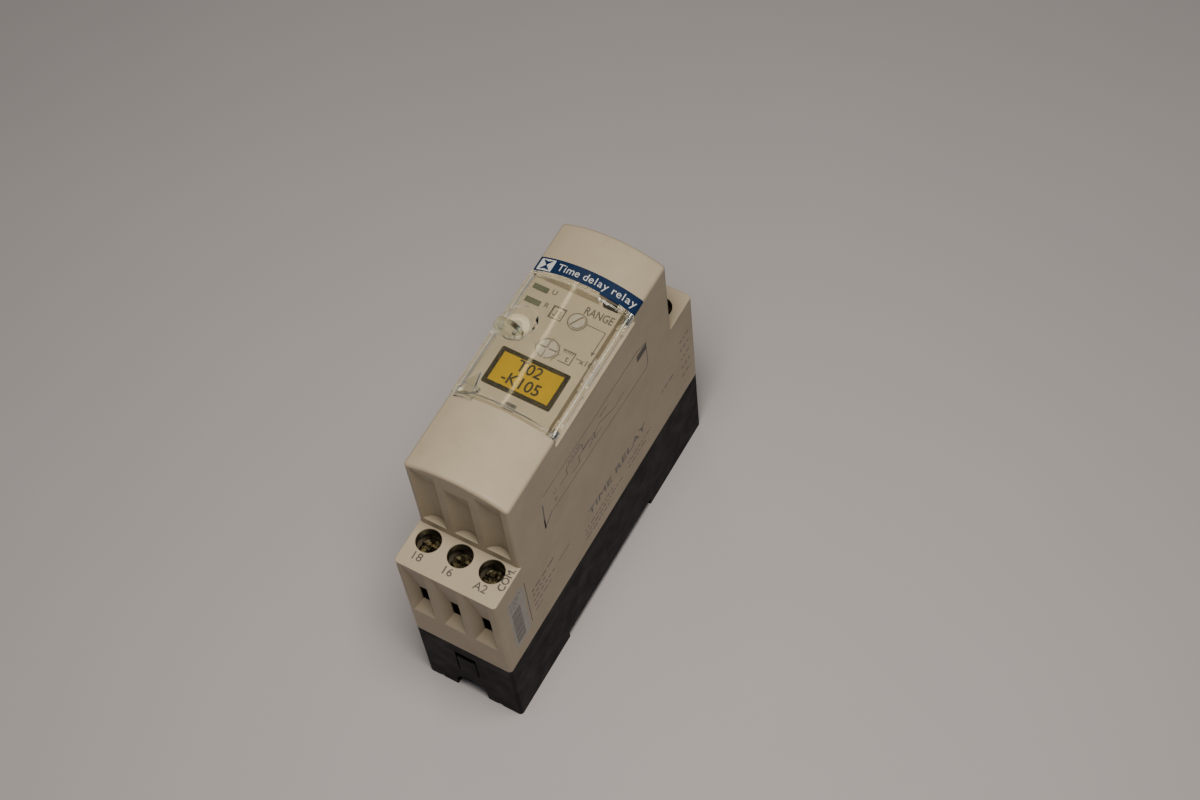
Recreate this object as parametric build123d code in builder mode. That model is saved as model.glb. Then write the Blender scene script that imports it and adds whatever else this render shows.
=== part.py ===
"""Narrow time relay for a 35 mm mounting rail, each piece a solid of its own.

Millimetres. +Z points out of the rail towards the front, +Y up the wall and X across the module.
The origin is the middle of the back face, which rests on the rail's panel.
"""
from build123d import *
import math
import os

os.makedirs("parts", exist_ok=True)

# ------------------------------------------------------------------ overall sizes
module_width = 22.5
body_length = 78.0
base_height = 22.0
shoulder_height = 52.2
crown_side_height = 75.2
crown_rise = 2.65
lower_shoulder_depth = 9.6
upper_shoulder_depth = 8.6
housing_wall = 1.5
base_wall = 1.4
corner_radius = 0.8

# ------------------------------------------------------------------ clearances
slip_gap = 0.3
pocket_gap = 0.05
running_gap = 0.05

# ------------------------------------------------------------------ rail and clip
rail_near_y = -18.9
rail_slot_width = 35.2
rail_slot_depth = 2.4
hook_half_width = 8.0
hook_reach = 1.6
hook_thickness = 1.2
base_floor = 1.2
clip_half_width = 4.7
clip_neck_half_width = 3.7
clip_body_top = 4.1
clip_neck_top = 1.4
clip_lowest = 0.3
clip_travel = 2.5
clip_end_inset = 1.5
clip_end_half_width = 3.0
clip_bridge = 2.6
clip_grip_depth = 2.0
clip_grip_height = 1.6
arch_centre_x = -0.5
arch_radius = 3.7
arch_spring_height = 2.2
end_wall = 1.7
foot_notches = ((-8.7, -7.5), (5.5, 6.7))
foot_notch_height = 0.8
spring_radius = 0.9
spring_wire_radius = 0.18
spring_turns = 6
spring_length = 7.5
spring_post_length = 1.4
spring_post_half_width = 1.3

# ------------------------------------------------------------------ terminals
terminal_pitch = 7.1
terminal_offset_x = -0.35
lower_screw_inset = 6.7
upper_screw_inset = 5.3
partition = 1.3
chamber_depth = 3.8
chamber_top = 49.8
screw_hole_radius = 2.6
screw_head_radius = 2.35
screw_head_gap = 0.2
screw_head_height = 1.8
screw_head_chamfer = 0.3
screw_shank_radius = 1.45
screw_tip_gap = 0.4
screw_slot_width = 0.8
screw_slot_depth = 0.9
screw_cross_depth = 1.2
cage_half_depth = 3.0
cage_travel = 2.5
cage_wall = 0.8
cage_bottom = 32.6
cage_floor = 1.4
cage_top_thickness = 2.0
cage_spare_height = 2.8
wire_hole_bottom = 34.0
wire_hole_height = 5.5
wire_hole_width = 2.5
funnel_width = 5.2
funnel_bottom = 31.4
funnel_lip = 0.2
funnel_land = 0.2
lower_end_wall = 2.2
blade_width = 3.0
blade_thickness = 1.0
blade_end_gap = 0.4
blade_gap = 0.1
tail_width = 1.2
tail_step = 1.5
groove_radius = 3.1
groove_inset = 1.5
groove_floor = 54.4
groove_tops = (75.0, 72.5, 75.0)
groove_run_out = 6.3

# ------------------------------------------------------------------ front
cover_near_y = -12.1
cover_far_y = 17.7
cover_thickness = 0.9
cover_side_height = 75.6
cover_rise = 3.3
cover_flange_bottom = 73.3
cover_end_wall = 0.8
cover_end_drop = 0.05
cover_edge_radius = 0.5
hinge_x_inset = 1.05
hinge_height = 74.05
hinge_barrel_radius = 1.0
hinge_pin_radius = 0.5
hinge_pin_depth = 2.0
knuckle_length = 4.0
middle_knuckle = (-1.2, 1.0)
flange_slot = (0.9, 5.7)
flange_slot_depth = 0.4
far_notch = (4.1, 8.2)
far_notch_spare = 0.1
grip_x = (-10.2, -5.9)
grip_reach = 1.1
grip_rise = 0.7
recess_floor = 73.0
hinge_side_floor = 72.5
top_plate_bottom = 71.0
window_half_width = 8.0
window_margin = 1.4
panel_thickness = 1.6
panel_left_inset = 1.35
panel_right_inset = 2.45
strip_width = 3.5
strip_thickness = 0.5
label_size = (14.7, 8.5)
label_centre = (-0.25, -3.2)
label_thickness = 0.3
label_corner_radius = 0.4
side_label_size = (5.4, 19.4)
side_label_centre = (-32.8, 36.8)
side_label_thickness = 0.2
seal_x = -7.4
seal_y = 5.5
seal_radius = 3.9
seal_floor_radius = 2.6
seal_hole_radius = 1.2
seal_wall = 0.6
seal_floor_lift = 0.1
seal_wall_foot = 2.3
lug_x = -7.85
lug_top = 80.0
lug_radius = 3.1
lug_y = 3.7
lug_thickness = 1.2
lug_eye_radius = 0.6
lug_peg_half_width = 1.0
lens_x = (-9.3, -6.1)
lens_rows = {"supply": 15.4, "output": 12.2}
lens_width = 1.2
lens_height = 1.1
lens_stem_length = 1.2
lens_proud = 0.1
lens_gap = 0.6
led_height = 2.6
selector_centre = (2.1, 12.0)
selector_radius = 1.5
dial_centre = (0.05, 4.2)
dial_radius = 1.95
knob_proud = 0.4
knob_stem_radius = 0.9
knob_slot_width = 0.5
knob_slot_depth = 0.7
stem_socket_floor = 2.0
switch_width = 7.0
potentiometer_width = 8.0

# ------------------------------------------------------------------ electronics
board_thickness = 1.0
board_wall_gap = 0.15
board_edge_gap = 0.4
board_bottom = 7.0
board_top = 61.5
front_board_height = 62.0
header_thickness = 2.5
header_y = (-4.0, 8.0)
header_bottom = 59.5
relay_y = -14.15
relay_bottom = 21.0
relay_length = 29.0
relay_width = 12.7
relay_height = 15.7
relay_base_thickness = 1.2
relay_wall = 0.8
coil_depth = 8.6
core_radius = 2.0
core_top = 43.4
bobbin_wall = 0.55
bobbin_flange_radius = 4.2
bobbin_flange = 0.8
winding_radius = 4.0
yoke_thickness = 1.2
yoke_bottom = 24.0
yoke_top = 44.0
armature_gap = 0.2
armature_thickness = 1.2
armature_half_width = 3.0
contact_radius = 0.8
contact_reach = 5.4
contact_arm_thickness = 0.5
contact_arm_half_width = 1.2
contact_rivet = 0.6
contact_gap = 0.8
contact_rest_gap = 0.2
leaf_thickness = 0.3
bobbin_end_gap = 0.2
core_bare_length = 0.8
capacitor_rows = (2.0, 12.0)
capacitor_height = 28.0
capacitor_radius = 4.0
capacitor_length = 12.0
film_box_thickness = 9.0
film_box_y = (-22.0, -4.0)
film_box_z = (8.0, 19.5)
film_box_radius = 1.0
varistor_y = (16.2, 19.8)
varistor_height = 50.0
varistor_radius = 4.5
varistor_stand_off = 6.5
varistor_lead_rows = (48.0, 52.0)
lead_half_width = 0.3
lead_length = 4.0
chip_thickness = 1.6
chip_stand_off = 0.1
chip_y = (-0.2, 8.7)
chip_z = (44.0, 48.0)
chip_leg_count = 7
chip_leg_y = 0.6
chip_leg_pitch = 1.27
chip_leg_half_width = 0.2
chip_leg_thickness = 0.7
chip_leg_reach = 1.0
bridge_thickness = 3.0
bridge_y = (4.0, 12.0)
bridge_z = (10.0, 16.0)
bridge_chamfer = 0.4
resistor_rows = (16.0, 20.0)
resistor_stand_off = 2.2
resistor_z = (9.0, 17.0)
resistor_radius = 1.5
resistor_leg_rows = (9.6, 16.4)

# ------------------------------------------------------------------ derived places
half_width = module_width / 2
half_length = body_length / 2
lower_screw_y = -half_length + lower_screw_inset
upper_screw_y = half_length - upper_screw_inset
front_near_y = -half_length + lower_shoulder_depth
front_far_y = half_length - upper_shoulder_depth
crown_top = crown_side_height + crown_rise
cover_top = cover_side_height + cover_rise
cover_end_bottom = cover_side_height - cover_thickness / 2 - cover_end_drop
rail_far_y = rail_near_y + rail_slot_width
panel_bottom = recess_floor
panel_top = panel_bottom + panel_thickness
panel_left = -half_width + panel_left_inset
panel_right = half_width - panel_right_inset
recess_near_y = cover_near_y - slip_gap
recess_far_y = cover_far_y + slip_gap
hinge_x = half_width - hinge_x_inset
knob_top = panel_top + knob_proud
lug_z = lug_top - lug_radius
wire_hole_top = wire_hole_bottom + wire_hole_height
blade_bottom = wire_hole_top + blade_gap
cage_top = cage_bottom + cage_floor + wire_hole_height + cage_spare_height + cage_top_thickness
screw_head_bottom = cage_top + cage_travel + screw_head_gap
screw_tip_height = blade_bottom + blade_thickness + screw_tip_gap
chamber_width = terminal_pitch - partition
cage_width = chamber_width - 2 * slip_gap
terminal_x = [terminal_offset_x + step * terminal_pitch for step in (-1, 0, 1)]
terminal_sides = ("left", "middle", "right")
board_face = half_width - housing_wall - board_wall_gap - board_thickness
front_board_top = front_board_height + board_thickness
channel_top = clip_body_top + slip_gap
cavity_floor = channel_top + base_floor
cavity_half_width = half_width - housing_wall
coil_x = board_face - coil_depth
across_body = (-half_width, half_width)
along_body = (-half_length, half_length)
beyond = 1.0
ENDS = {
    "lower": (-1, lower_screw_y, front_near_y),
    "upper": (1, upper_screw_y, front_far_y),
}
END_WALLS = {"lower": lower_end_wall, "upper": end_wall}


# ------------------------------------------------------------------ helpers
def span(centre, half):
    """Return the (low, high) pair that lies half either side of centre."""
    return (centre - half, centre + half)


def ordered(first, second):
    """Return the two values as a (low, high) pair."""
    return (min(first, second), max(first, second))


def block(x, y, z, mode=Mode.ADD):
    """Add or cut a box given by its (low, high) limits along X, Y and Z."""
    centre = ((x[0] + x[1]) / 2, (y[0] + y[1]) / 2, (z[0] + z[1]) / 2)
    with Locations(centre):
        Box(x[1] - x[0], y[1] - y[0], z[1] - z[0], mode=mode)


def post(x, y, z, radius, mode=Mode.ADD):
    """Add or cut an upright cylinder between the two heights in z."""
    with Locations((x, y, (z[0] + z[1]) / 2)):
        Cylinder(radius, z[1] - z[0], mode=mode)


def rod_along_x(x, y, z, radius, mode=Mode.ADD):
    """Add or cut a cylinder along X between the two places in x."""
    with Locations(((x[0] + x[1]) / 2, y, z)):
        Cylinder(radius, x[1] - x[0], rotation=(0, 90, 0), mode=mode)


def rod_along_y(x, y, z, radius, mode=Mode.ADD):
    """Add or cut a cylinder along Y between the two places in y."""
    with Locations((x, (y[0] + y[1]) / 2, z)):
        Cylinder(radius, y[1] - y[0], rotation=(90, 0, 0), mode=mode)


def crowned(y, low, side, middle, half, mode=Mode.ADD):
    """Extrude along Y a section with flat sides and bottom under one crowning arc."""
    with BuildSketch(Plane.XZ.offset(-y[1])) as section:
        with BuildLine():
            Polyline((-half, side), (-half, low), (half, low), (half, side))
            ThreePointArc((half, side), (0, middle), (-half, side))
        make_face()
    extrude(section.sketch, amount=y[1] - y[0], mode=mode)


def crowned_skin(y, side, middle, half, thickness, mode=Mode.ADD):
    """Extrude along Y the skin between a crowning arc and the same arc set lower."""
    with BuildSketch(Plane.XZ.offset(-y[1])) as section:
        with BuildLine():
            ThreePointArc((-half, side), (0, middle), (half, side))
            Line((half, side), (half, side - thickness))
            ThreePointArc((half, side - thickness), (0, middle - thickness), (-half, side - thickness))
            Line((-half, side - thickness), (-half, side))
        make_face()
    extrude(section.sketch, amount=y[1] - y[0], mode=mode)


def arc_height(x, side, rise):
    """Return the height at x of a crowning arc that spans the module's width."""
    radius = (half_width**2 + rise**2) / (2 * rise)
    return side + rise - radius + math.sqrt(radius**2 - x**2)


def finish(piece, name):
    """Label a finished piece and write it as its own STEP file."""
    piece.part.label = name
    export_step(piece.part, f"parts/{name}.step")


# ------------------------------------------------------------------ front housing
def inner_end(end):
    """Return where a terminal chamber ends towards the middle of the module."""
    direction, screw_y, _ = ENDS[end]
    return screw_y - direction * chamber_depth


def cavity_limit(end):
    """Return where the main cavity ends, behind the wall of the terminal chambers."""
    return inner_end(end) - ENDS[end][0] * housing_wall


cavity_y = (cavity_limit("lower"), cavity_limit("upper"))

with BuildPart() as driver_grooves:
    for direction, _, wall_y in ENDS.values():
        for x, top in zip(terminal_x, groove_tops):
            post(x, wall_y + direction * groove_inset, (groove_floor, top), groove_radius)
    for direction, _, wall_y in ENDS.values():
        for x, top in zip(terminal_x, groove_tops):
            slope = groove_run_out / groove_inset
            inside = wall_y - direction * 2 * groove_inset
            with BuildSketch(Plane.YZ.offset(x - groove_radius - beyond)):
                with BuildLine():
                    Polyline(
                        (wall_y, top),
                        (inside, top - 2 * groove_inset * slope),
                        (inside, top + beyond),
                        (wall_y, top + beyond),
                        close=True,
                    )
                make_face()
            extrude(amount=2 * (groove_radius + beyond), mode=Mode.SUBTRACT)

with BuildPart() as housing_form:
    block(across_body, along_body, (base_height, shoulder_height))
    crowned(
        (front_near_y, front_far_y), base_height, crown_side_height, crown_top, half_width
    )
    rounded = housing_form.edges().filter_by(Axis.Z)
    rounded += housing_form.edges().filter_by_position(Axis.Z, crown_side_height - beyond, crown_top)
    fillet(rounded, radius=corner_radius)

with BuildPart() as front_housing:
    add(housing_form.part)
    block(
        span(0, cavity_half_width),
        cavity_y,
        (base_height - beyond, top_plate_bottom),
        Mode.SUBTRACT,
    )
    block(
        span(0, half_width + beyond),
        (recess_near_y, recess_far_y),
        (recess_floor, crown_top + beyond),
        Mode.SUBTRACT,
    )
    block(
        (panel_right, half_width + beyond),
        (recess_near_y, recess_far_y),
        (hinge_side_floor, crown_top),
        Mode.SUBTRACT,
    )
    block(
        span(0, window_half_width),
        (recess_near_y + window_margin, recess_far_y - window_margin),
        (top_plate_bottom - beyond, crown_top),
        Mode.SUBTRACT,
    )
    crowned_skin(
        (recess_far_y, recess_far_y + strip_width),
        crown_side_height + beyond,
        crown_top + beyond,
        half_width,
        strip_thickness + beyond,
        Mode.SUBTRACT,
    )
    for end, (direction, screw_y, wall_y) in ENDS.items():
        face_y = direction * half_length
        chamber_y = face_y - direction * END_WALLS[end]
        funnel_y = chamber_y + direction * funnel_land
        for x in terminal_x:
            block(
                span(x, chamber_width / 2),
                ordered(inner_end(end), chamber_y),
                (base_height - beyond, chamber_top),
                Mode.SUBTRACT,
            )
            post(x, screw_y, (chamber_top - beyond, shoulder_height + beyond), screw_hole_radius,
                 Mode.SUBTRACT)
            block(
                span(x, blade_width / 2 + slip_gap / 2),
                ordered(inner_end(end), cavity_limit(end)),
                (blade_bottom - slip_gap / 2, blade_bottom + blade_thickness + slip_gap / 2),
                Mode.SUBTRACT,
            )
            block(
                span(x, wire_hole_width / 2),
                ordered(funnel_y, chamber_y - direction * beyond),
                (wire_hole_bottom, wire_hole_top),
                Mode.SUBTRACT,
            )
            funnel_top = shoulder_height - funnel_lip
            with BuildSketch(Plane.XZ.offset(-face_y)):
                with Locations((x, (funnel_bottom + funnel_top) / 2)):
                    Rectangle(funnel_width, funnel_top - funnel_bottom)
            with BuildSketch(Plane.XZ.offset(-funnel_y)):
                with Locations((x, (wire_hole_bottom + wire_hole_top) / 2)):
                    Rectangle(wire_hole_width, wire_hole_height)
            loft(ruled=True, mode=Mode.SUBTRACT)
    add(driver_grooves.part, mode=Mode.SUBTRACT)
    for pin_y in (
        (recess_near_y - hinge_pin_depth, recess_near_y + beyond),
        (recess_far_y - beyond, recess_far_y + hinge_pin_depth),
    ):
        rod_along_y(hinge_x, pin_y, hinge_height, hinge_pin_radius, Mode.SUBTRACT)
    block(
        (half_width - side_label_thickness, half_width + beyond),
        span(side_label_centre[0], side_label_size[0] / 2),
        span(side_label_centre[1], side_label_size[1] / 2),
        Mode.SUBTRACT,
    )
finish(front_housing, "front_housing")

# ------------------------------------------------------------------ rear base and rail clip
channel_half_width = clip_half_width + slip_gap
channel_near_y = -half_length + end_wall
clip_body_near_y = channel_near_y + clip_travel + slip_gap
clip_tail_near_y = -half_length + clip_end_inset
window_near_y = clip_body_near_y + clip_bridge
post_near_y = window_near_y + clip_travel / 5
spring_near_y = post_near_y + spring_post_length
window_far_y = spring_near_y + spring_length
spring_height = (clip_neck_top + clip_body_top) / 2
tongue_x = (-2.45, 2.2)
tongue_slot_z = (16.4, 18.4)
tongue_bottom = 10.0
tongue_slit = 0.35

with BuildPart() as rear_base:
    block(across_body, along_body, (0, base_height))
    fillet(rear_base.edges().filter_by(Axis.Z), radius=corner_radius)
    block(
        span(0, half_width - base_wall),
        span(0, half_length - end_wall),
        (cavity_floor, base_height + beyond),
        Mode.SUBTRACT,
    )
    block(
        span(0, half_width + beyond),
        (rail_near_y, rail_far_y),
        (-beyond, rail_slot_depth),
        Mode.SUBTRACT,
    )
    block(
        span(0, hook_half_width),
        (rail_far_y - hook_reach, rail_far_y + beyond),
        (0, hook_thickness),
    )
    block(
        span(0, channel_half_width),
        (channel_near_y, rail_near_y + beyond),
        (clip_neck_top - slip_gap / 2, channel_top),
        Mode.SUBTRACT,
    )
    block(
        span(0, clip_neck_half_width + slip_gap),
        (channel_near_y, rail_near_y + beyond),
        (-beyond, clip_neck_top),
        Mode.SUBTRACT,
    )
    with BuildSketch(Plane.XZ.offset(half_length + beyond)):
        with Locations((arch_centre_x, arch_spring_height)):
            Circle(arch_radius)
        with Locations((arch_centre_x, arch_spring_height / 2 - beyond / 2)):
            Rectangle(2 * arch_radius, arch_spring_height + beyond)
    extrude(amount=-(end_wall + 2 * beyond), mode=Mode.SUBTRACT)
    block(
        span(0, spring_post_half_width),
        (post_near_y, spring_near_y),
        (clip_neck_top + slip_gap, channel_top + beyond),
    )
    for notch_x in foot_notches:
        block(notch_x, (-half_length - beyond, channel_near_y), (-beyond, foot_notch_height), Mode.SUBTRACT)
    block(tongue_x, (-half_length - beyond, channel_near_y + beyond), tongue_slot_z, Mode.SUBTRACT)
    for slit_x in tongue_x:
        block(
            span(slit_x, tongue_slit / 2),
            (-half_length - beyond, channel_near_y + beyond),
            (tongue_bottom, tongue_slot_z[1]),
            Mode.SUBTRACT,
        )
finish(rear_base, "rear_base")

with BuildPart() as din_clip:
    block(
        span(0, clip_half_width),
        (clip_body_near_y, rail_near_y - slip_gap),
        (clip_neck_top + slip_gap / 2, clip_body_top),
    )
    block(
        span(0, clip_neck_half_width),
        (clip_body_near_y, rail_near_y + hook_reach),
        (clip_lowest, hook_thickness),
    )
    block(
        span(0, clip_neck_half_width),
        (clip_body_near_y, rail_near_y - slip_gap),
        (hook_thickness - pocket_gap, clip_neck_top + slip_gap),
    )
    block(
        span(arch_centre_x, clip_end_half_width),
        (clip_tail_near_y, clip_body_near_y + beyond),
        (clip_lowest, clip_body_top - 2 * slip_gap),
    )
    block(
        span(arch_centre_x, clip_end_half_width / 2),
        (clip_tail_near_y - beyond, clip_tail_near_y + clip_grip_depth),
        (clip_lowest - beyond, clip_lowest + clip_grip_height),
        Mode.SUBTRACT,
    )
    block(
        span(0, spring_post_half_width + slip_gap),
        (window_near_y, window_far_y),
        (clip_neck_top + slip_gap / 2, clip_body_top + beyond),
        Mode.SUBTRACT,
    )
    jaw_edges = din_clip.edges().filter_by(Axis.X).group_by(Axis.Y)[-1].sort_by(Axis.Z)
    chamfer(jaw_edges[0], length=hook_thickness / 2)
finish(din_clip, "din_clip")

with BuildPart() as din_clip_spring:
    coil_length = spring_length - 2 * spring_wire_radius - 2 * pocket_gap
    with BuildLine() as spring_path:
        Helix(
            pitch=coil_length / spring_turns,
            height=coil_length,
            radius=spring_radius,
            center=(0, spring_near_y + spring_wire_radius + pocket_gap, spring_height),
            direction=(0, 1, 0),
        )
    start = spring_path.line
    with BuildSketch(Plane(origin=start @ 0, z_dir=start % 0)):
        Circle(spring_wire_radius)
    sweep(path=start, is_frenet=True)
finish(din_clip_spring, "din_clip_spring")

# ------------------------------------------------------------------ front panel, strip and labels
panel_y = (recess_near_y + slip_gap / 2, recess_far_y - slip_gap / 2)
lug_span_y = span(lug_y, lug_thickness / 2)
lens_stem_x = (lens_x[1] - lens_stem_length - pocket_gap, lens_x[1] - pocket_gap)

with BuildPart() as front_panel:
    block((panel_left, panel_right), panel_y, (panel_bottom, panel_top))
    post(*selector_centre, (panel_bottom - beyond, panel_top + beyond),
         selector_radius + running_gap, Mode.SUBTRACT)
    post(*dial_centre, (panel_bottom - beyond, panel_top + beyond),
         dial_radius + running_gap, Mode.SUBTRACT)
    for row_y in lens_rows.values():
        block(
            lens_x,
            span(row_y, lens_width / 2),
            (panel_top - lens_height, panel_top + beyond),
            Mode.SUBTRACT,
        )
        block(
            lens_stem_x,
            span(row_y, lens_width / 2),
            (panel_bottom - beyond, panel_top),
            Mode.SUBTRACT,
        )
    block(
        span(lug_x, lug_peg_half_width),
        lug_span_y,
        (panel_bottom - beyond, panel_top + beyond),
        Mode.SUBTRACT,
    )
finish(front_panel, "front_panel")

with BuildPart() as name_strip:
    crowned_skin(
        (recess_far_y, recess_far_y + strip_width),
        crown_side_height,
        crown_top,
        half_width,
        strip_thickness,
    )
    add(housing_form.part, mode=Mode.INTERSECT)
finish(name_strip, "name_strip")

with BuildPart() as marker_label:
    block(
        span(label_centre[0], label_size[0] / 2),
        span(label_centre[1], label_size[1] / 2),
        (panel_top, panel_top + label_thickness),
    )
    fillet(marker_label.edges().filter_by(Axis.Z), radius=label_corner_radius)
finish(marker_label, "marker_label")

with BuildPart() as side_label:
    block(
        (half_width - side_label_thickness, half_width),
        span(side_label_centre[0], side_label_size[0] / 2),
        span(side_label_centre[1], side_label_size[1] / 2),
    )
finish(side_label, "side_label")

for lens_name, row_y in lens_rows.items():
    with BuildPart() as lens:
        block(lens_x, span(row_y, lens_width / 2), (panel_top - lens_height, panel_top + lens_proud))
        block(
            lens_stem_x,
            span(row_y, lens_width / 2),
            (front_board_top + led_height + lens_gap, panel_top - lens_height / 2),
        )
    finish(lens, f"led_lens_{lens_name}")

# ------------------------------------------------------------------ clear cover, hinge and seal lug
cover_y = (cover_near_y, cover_far_y)
dish_floor = cover_end_bottom + seal_floor_lift
dish_foot = dish_floor + seal_wall_foot

with BuildPart() as seal_dish:
    with BuildSketch(Plane.XZ.offset(-seal_y)):
        with BuildLine():
            Polyline(
                (seal_x + seal_hole_radius, dish_floor),
                (seal_x + seal_floor_radius + seal_wall / 2, dish_floor),
                (seal_x + seal_radius + seal_wall, dish_foot),
                (seal_x + seal_radius + seal_wall, lug_top),
                (seal_x + seal_radius, lug_top),
                (seal_x + seal_radius, dish_foot + seal_floor_lift),
                (seal_x + seal_floor_radius, dish_floor + seal_wall),
                (seal_x + seal_hole_radius, dish_floor + seal_wall),
                close=True,
            )
        make_face()
    revolve(axis=Axis((seal_x, seal_y, 0), (0, 0, 1)))
    crowned(cover_y, dish_floor - beyond, cover_side_height, cover_top, half_width, Mode.INTERSECT)

with BuildPart() as clear_cover:
    crowned_skin(cover_y, cover_side_height, cover_top, half_width, cover_thickness)
    long_edges = clear_cover.edges().filter_by(Axis.Y).group_by(Axis.Z)[-1]
    fillet(long_edges, radius=cover_edge_radius)
    block(
        (-half_width, -half_width + cover_thickness),
        cover_y,
        (cover_flange_bottom, cover_side_height - cover_thickness / 2),
    )
    block(
        (hinge_x, hinge_x + hinge_barrel_radius),
        cover_y,
        (hinge_height, cover_side_height - cover_thickness / 2),
    )
    for end_y in (
        (cover_near_y, cover_near_y + cover_end_wall),
        (cover_far_y - cover_end_wall, cover_far_y),
    ):
        crowned(
            end_y,
            cover_end_bottom,
            cover_side_height - cover_thickness / 2,
            cover_top - cover_thickness / 2,
            half_width - cover_thickness / 2,
        )
    for knuckle_y in (
        (cover_near_y, cover_near_y + knuckle_length),
        middle_knuckle,
        (cover_far_y - knuckle_length, cover_far_y),
    ):
        rod_along_y(hinge_x, knuckle_y, hinge_height, hinge_barrel_radius)
    post(seal_x, seal_y, (dish_floor, lug_top), seal_radius, Mode.SUBTRACT)
    add(seal_dish.part)
    with BuildSketch(Plane.XZ.offset(-(cover_near_y + beyond))):
        with BuildLine():
            grip_low = [arc_height(x, crown_side_height, crown_rise) + slip_gap for x in grip_x]
            grip_high = [arc_height(x, cover_side_height, cover_rise) + grip_rise for x in grip_x]
            Polyline(
                (grip_x[0], grip_low[0]),
                (grip_x[1], grip_low[1]),
                (grip_x[1], grip_high[1]),
                (grip_x[0], grip_high[0]),
                close=True,
            )
        make_face()
    extrude(amount=grip_reach + beyond)
    for bore_y in (
        (cover_near_y - beyond, cover_near_y + hinge_pin_depth + slip_gap),
        (cover_far_y - hinge_pin_depth - slip_gap, cover_far_y + beyond),
    ):
        rod_along_y(hinge_x, bore_y, hinge_height, hinge_pin_radius + running_gap, Mode.SUBTRACT)
    block(
        (-half_width - beyond, lug_x + lug_radius + 2 * slip_gap),
        span(lug_y, lug_thickness / 2 + slip_gap),
        (cover_flange_bottom - beyond, lug_top + beyond),
        Mode.SUBTRACT,
    )
    block(
        (hinge_x - slip_gap, hinge_x + flange_slot_depth),
        flange_slot,
        (cover_side_height - cover_thickness, cover_top),
        Mode.SUBTRACT,
    )
    block(
        far_notch,
        (cover_far_y - cover_end_wall - far_notch_spare, cover_far_y + beyond),
        (cover_end_bottom - beyond, cover_top + beyond),
        Mode.SUBTRACT,
    )
finish(clear_cover, "clear_cover")

with BuildPart() as cover_hinge_pins:
    for pin_y in (
        (recess_near_y - hinge_pin_depth, cover_near_y + hinge_pin_depth),
        (cover_far_y - hinge_pin_depth, recess_far_y + hinge_pin_depth),
    ):
        rod_along_y(hinge_x, pin_y, hinge_height, hinge_pin_radius)
finish(cover_hinge_pins, "cover_hinge_pins")

with BuildPart() as seal_lug:
    rod_along_y(lug_x, lug_span_y, lug_z, lug_radius)
    block(
        span(lug_x, lug_radius + beyond),
        span(lug_y, lug_thickness),
        (lug_z - lug_radius - beyond, panel_top),
        Mode.SUBTRACT,
    )
    block(
        span(lug_x, lug_peg_half_width),
        lug_span_y,
        (panel_bottom, panel_top + beyond),
    )
    rod_along_y(lug_x + lug_radius / 2, span(lug_y, lug_thickness), lug_z, lug_eye_radius,
                Mode.SUBTRACT)
finish(seal_lug, "seal_lug")


# ------------------------------------------------------------------ turning adjusters
def adjuster(centre, radius, slots):
    """Make a screwdriver adjuster: a head in the panel, a stem below and slots in its top."""
    with BuildPart() as knob:
        post(*centre, (panel_bottom - slip_gap, knob_top), radius)
        post(*centre, (front_board_top + stem_socket_floor, panel_bottom - slip_gap), knob_stem_radius)
        for angle in slots:
            with Locations(Location((*centre, knob_top), (0, 0, angle))):
                Box(2 * radius + beyond, knob_slot_width, 2 * knob_slot_depth, mode=Mode.SUBTRACT)
    return knob


def adjuster_body(centre, width):
    """Make the square component that an adjuster's stem turns in."""
    with BuildPart() as body:
        block(
            span(centre[0], width / 2),
            span(centre[1], width / 2),
            (front_board_top, top_plate_bottom - beyond),
        )
        post(*centre, (front_board_top + stem_socket_floor - slip_gap, top_plate_bottom),
             knob_stem_radius + running_gap, Mode.SUBTRACT)
    return body


finish(adjuster(selector_centre, selector_radius, (60,)), "range_selector")
finish(adjuster(dial_centre, dial_radius, (0, 90)), "time_dial")
finish(adjuster_body(selector_centre, switch_width), "range_switch_body")
finish(adjuster_body(dial_centre, potentiometer_width), "time_potentiometer_body")


# ------------------------------------------------------------------ terminals
def terminal_screw(x, y):
    """Make one captive terminal screw with a combined slot and cross recess."""
    head_top = screw_head_bottom + screw_head_height
    with BuildPart() as screw:
        post(x, y, (screw_head_bottom, head_top), screw_head_radius)
        chamfer(screw.edges().group_by(Axis.Z)[-1], length=screw_head_chamfer)
        post(x, y, (screw_tip_height, screw_head_bottom), screw_shank_radius)
        with Locations((x, y, head_top)):
            Box(2 * screw_head_radius + beyond, screw_slot_width, 2 * screw_slot_depth,
                mode=Mode.SUBTRACT)
            Box(screw_slot_width, screw_head_radius, 2 * screw_cross_depth, mode=Mode.SUBTRACT)
    return screw


def clamp_cage(x, y):
    """Make one rising cage: a box open towards the wire, with a hole for the screw on top."""
    with BuildPart() as cage:
        block(span(x, cage_width / 2), span(y, cage_half_depth), (cage_bottom, cage_top))
        block(
            span(x, cage_width / 2 - cage_wall),
            span(y, cage_half_depth + beyond),
            (cage_bottom + cage_floor, cage_top - cage_top_thickness),
            Mode.SUBTRACT,
        )
        post(x, y, (cage_top - cage_top_thickness - beyond, cage_top + beyond),
             screw_shank_radius + running_gap, Mode.SUBTRACT)
    return cage


def contact_bar(end, index):
    """Make one contact bar: a blade through the cage and a tail across to the board."""
    direction = ENDS[end][0]
    x = terminal_x[index]
    outside = direction * (half_length - END_WALLS[end] - blade_end_gap)
    inside = cavity_limit(end) - direction * (board_edge_gap + tail_step * (2 - index))
    blade_z = (blade_bottom, blade_bottom + blade_thickness)
    tail_y = ordered(inside, inside - direction * tail_width)
    with BuildPart() as bar:
        block(
            span(x, blade_width / 2),
            ordered(outside, inside - direction * tail_width),
            blade_z,
        )
        block((x, board_face), tail_y, blade_z)
    return bar


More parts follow.
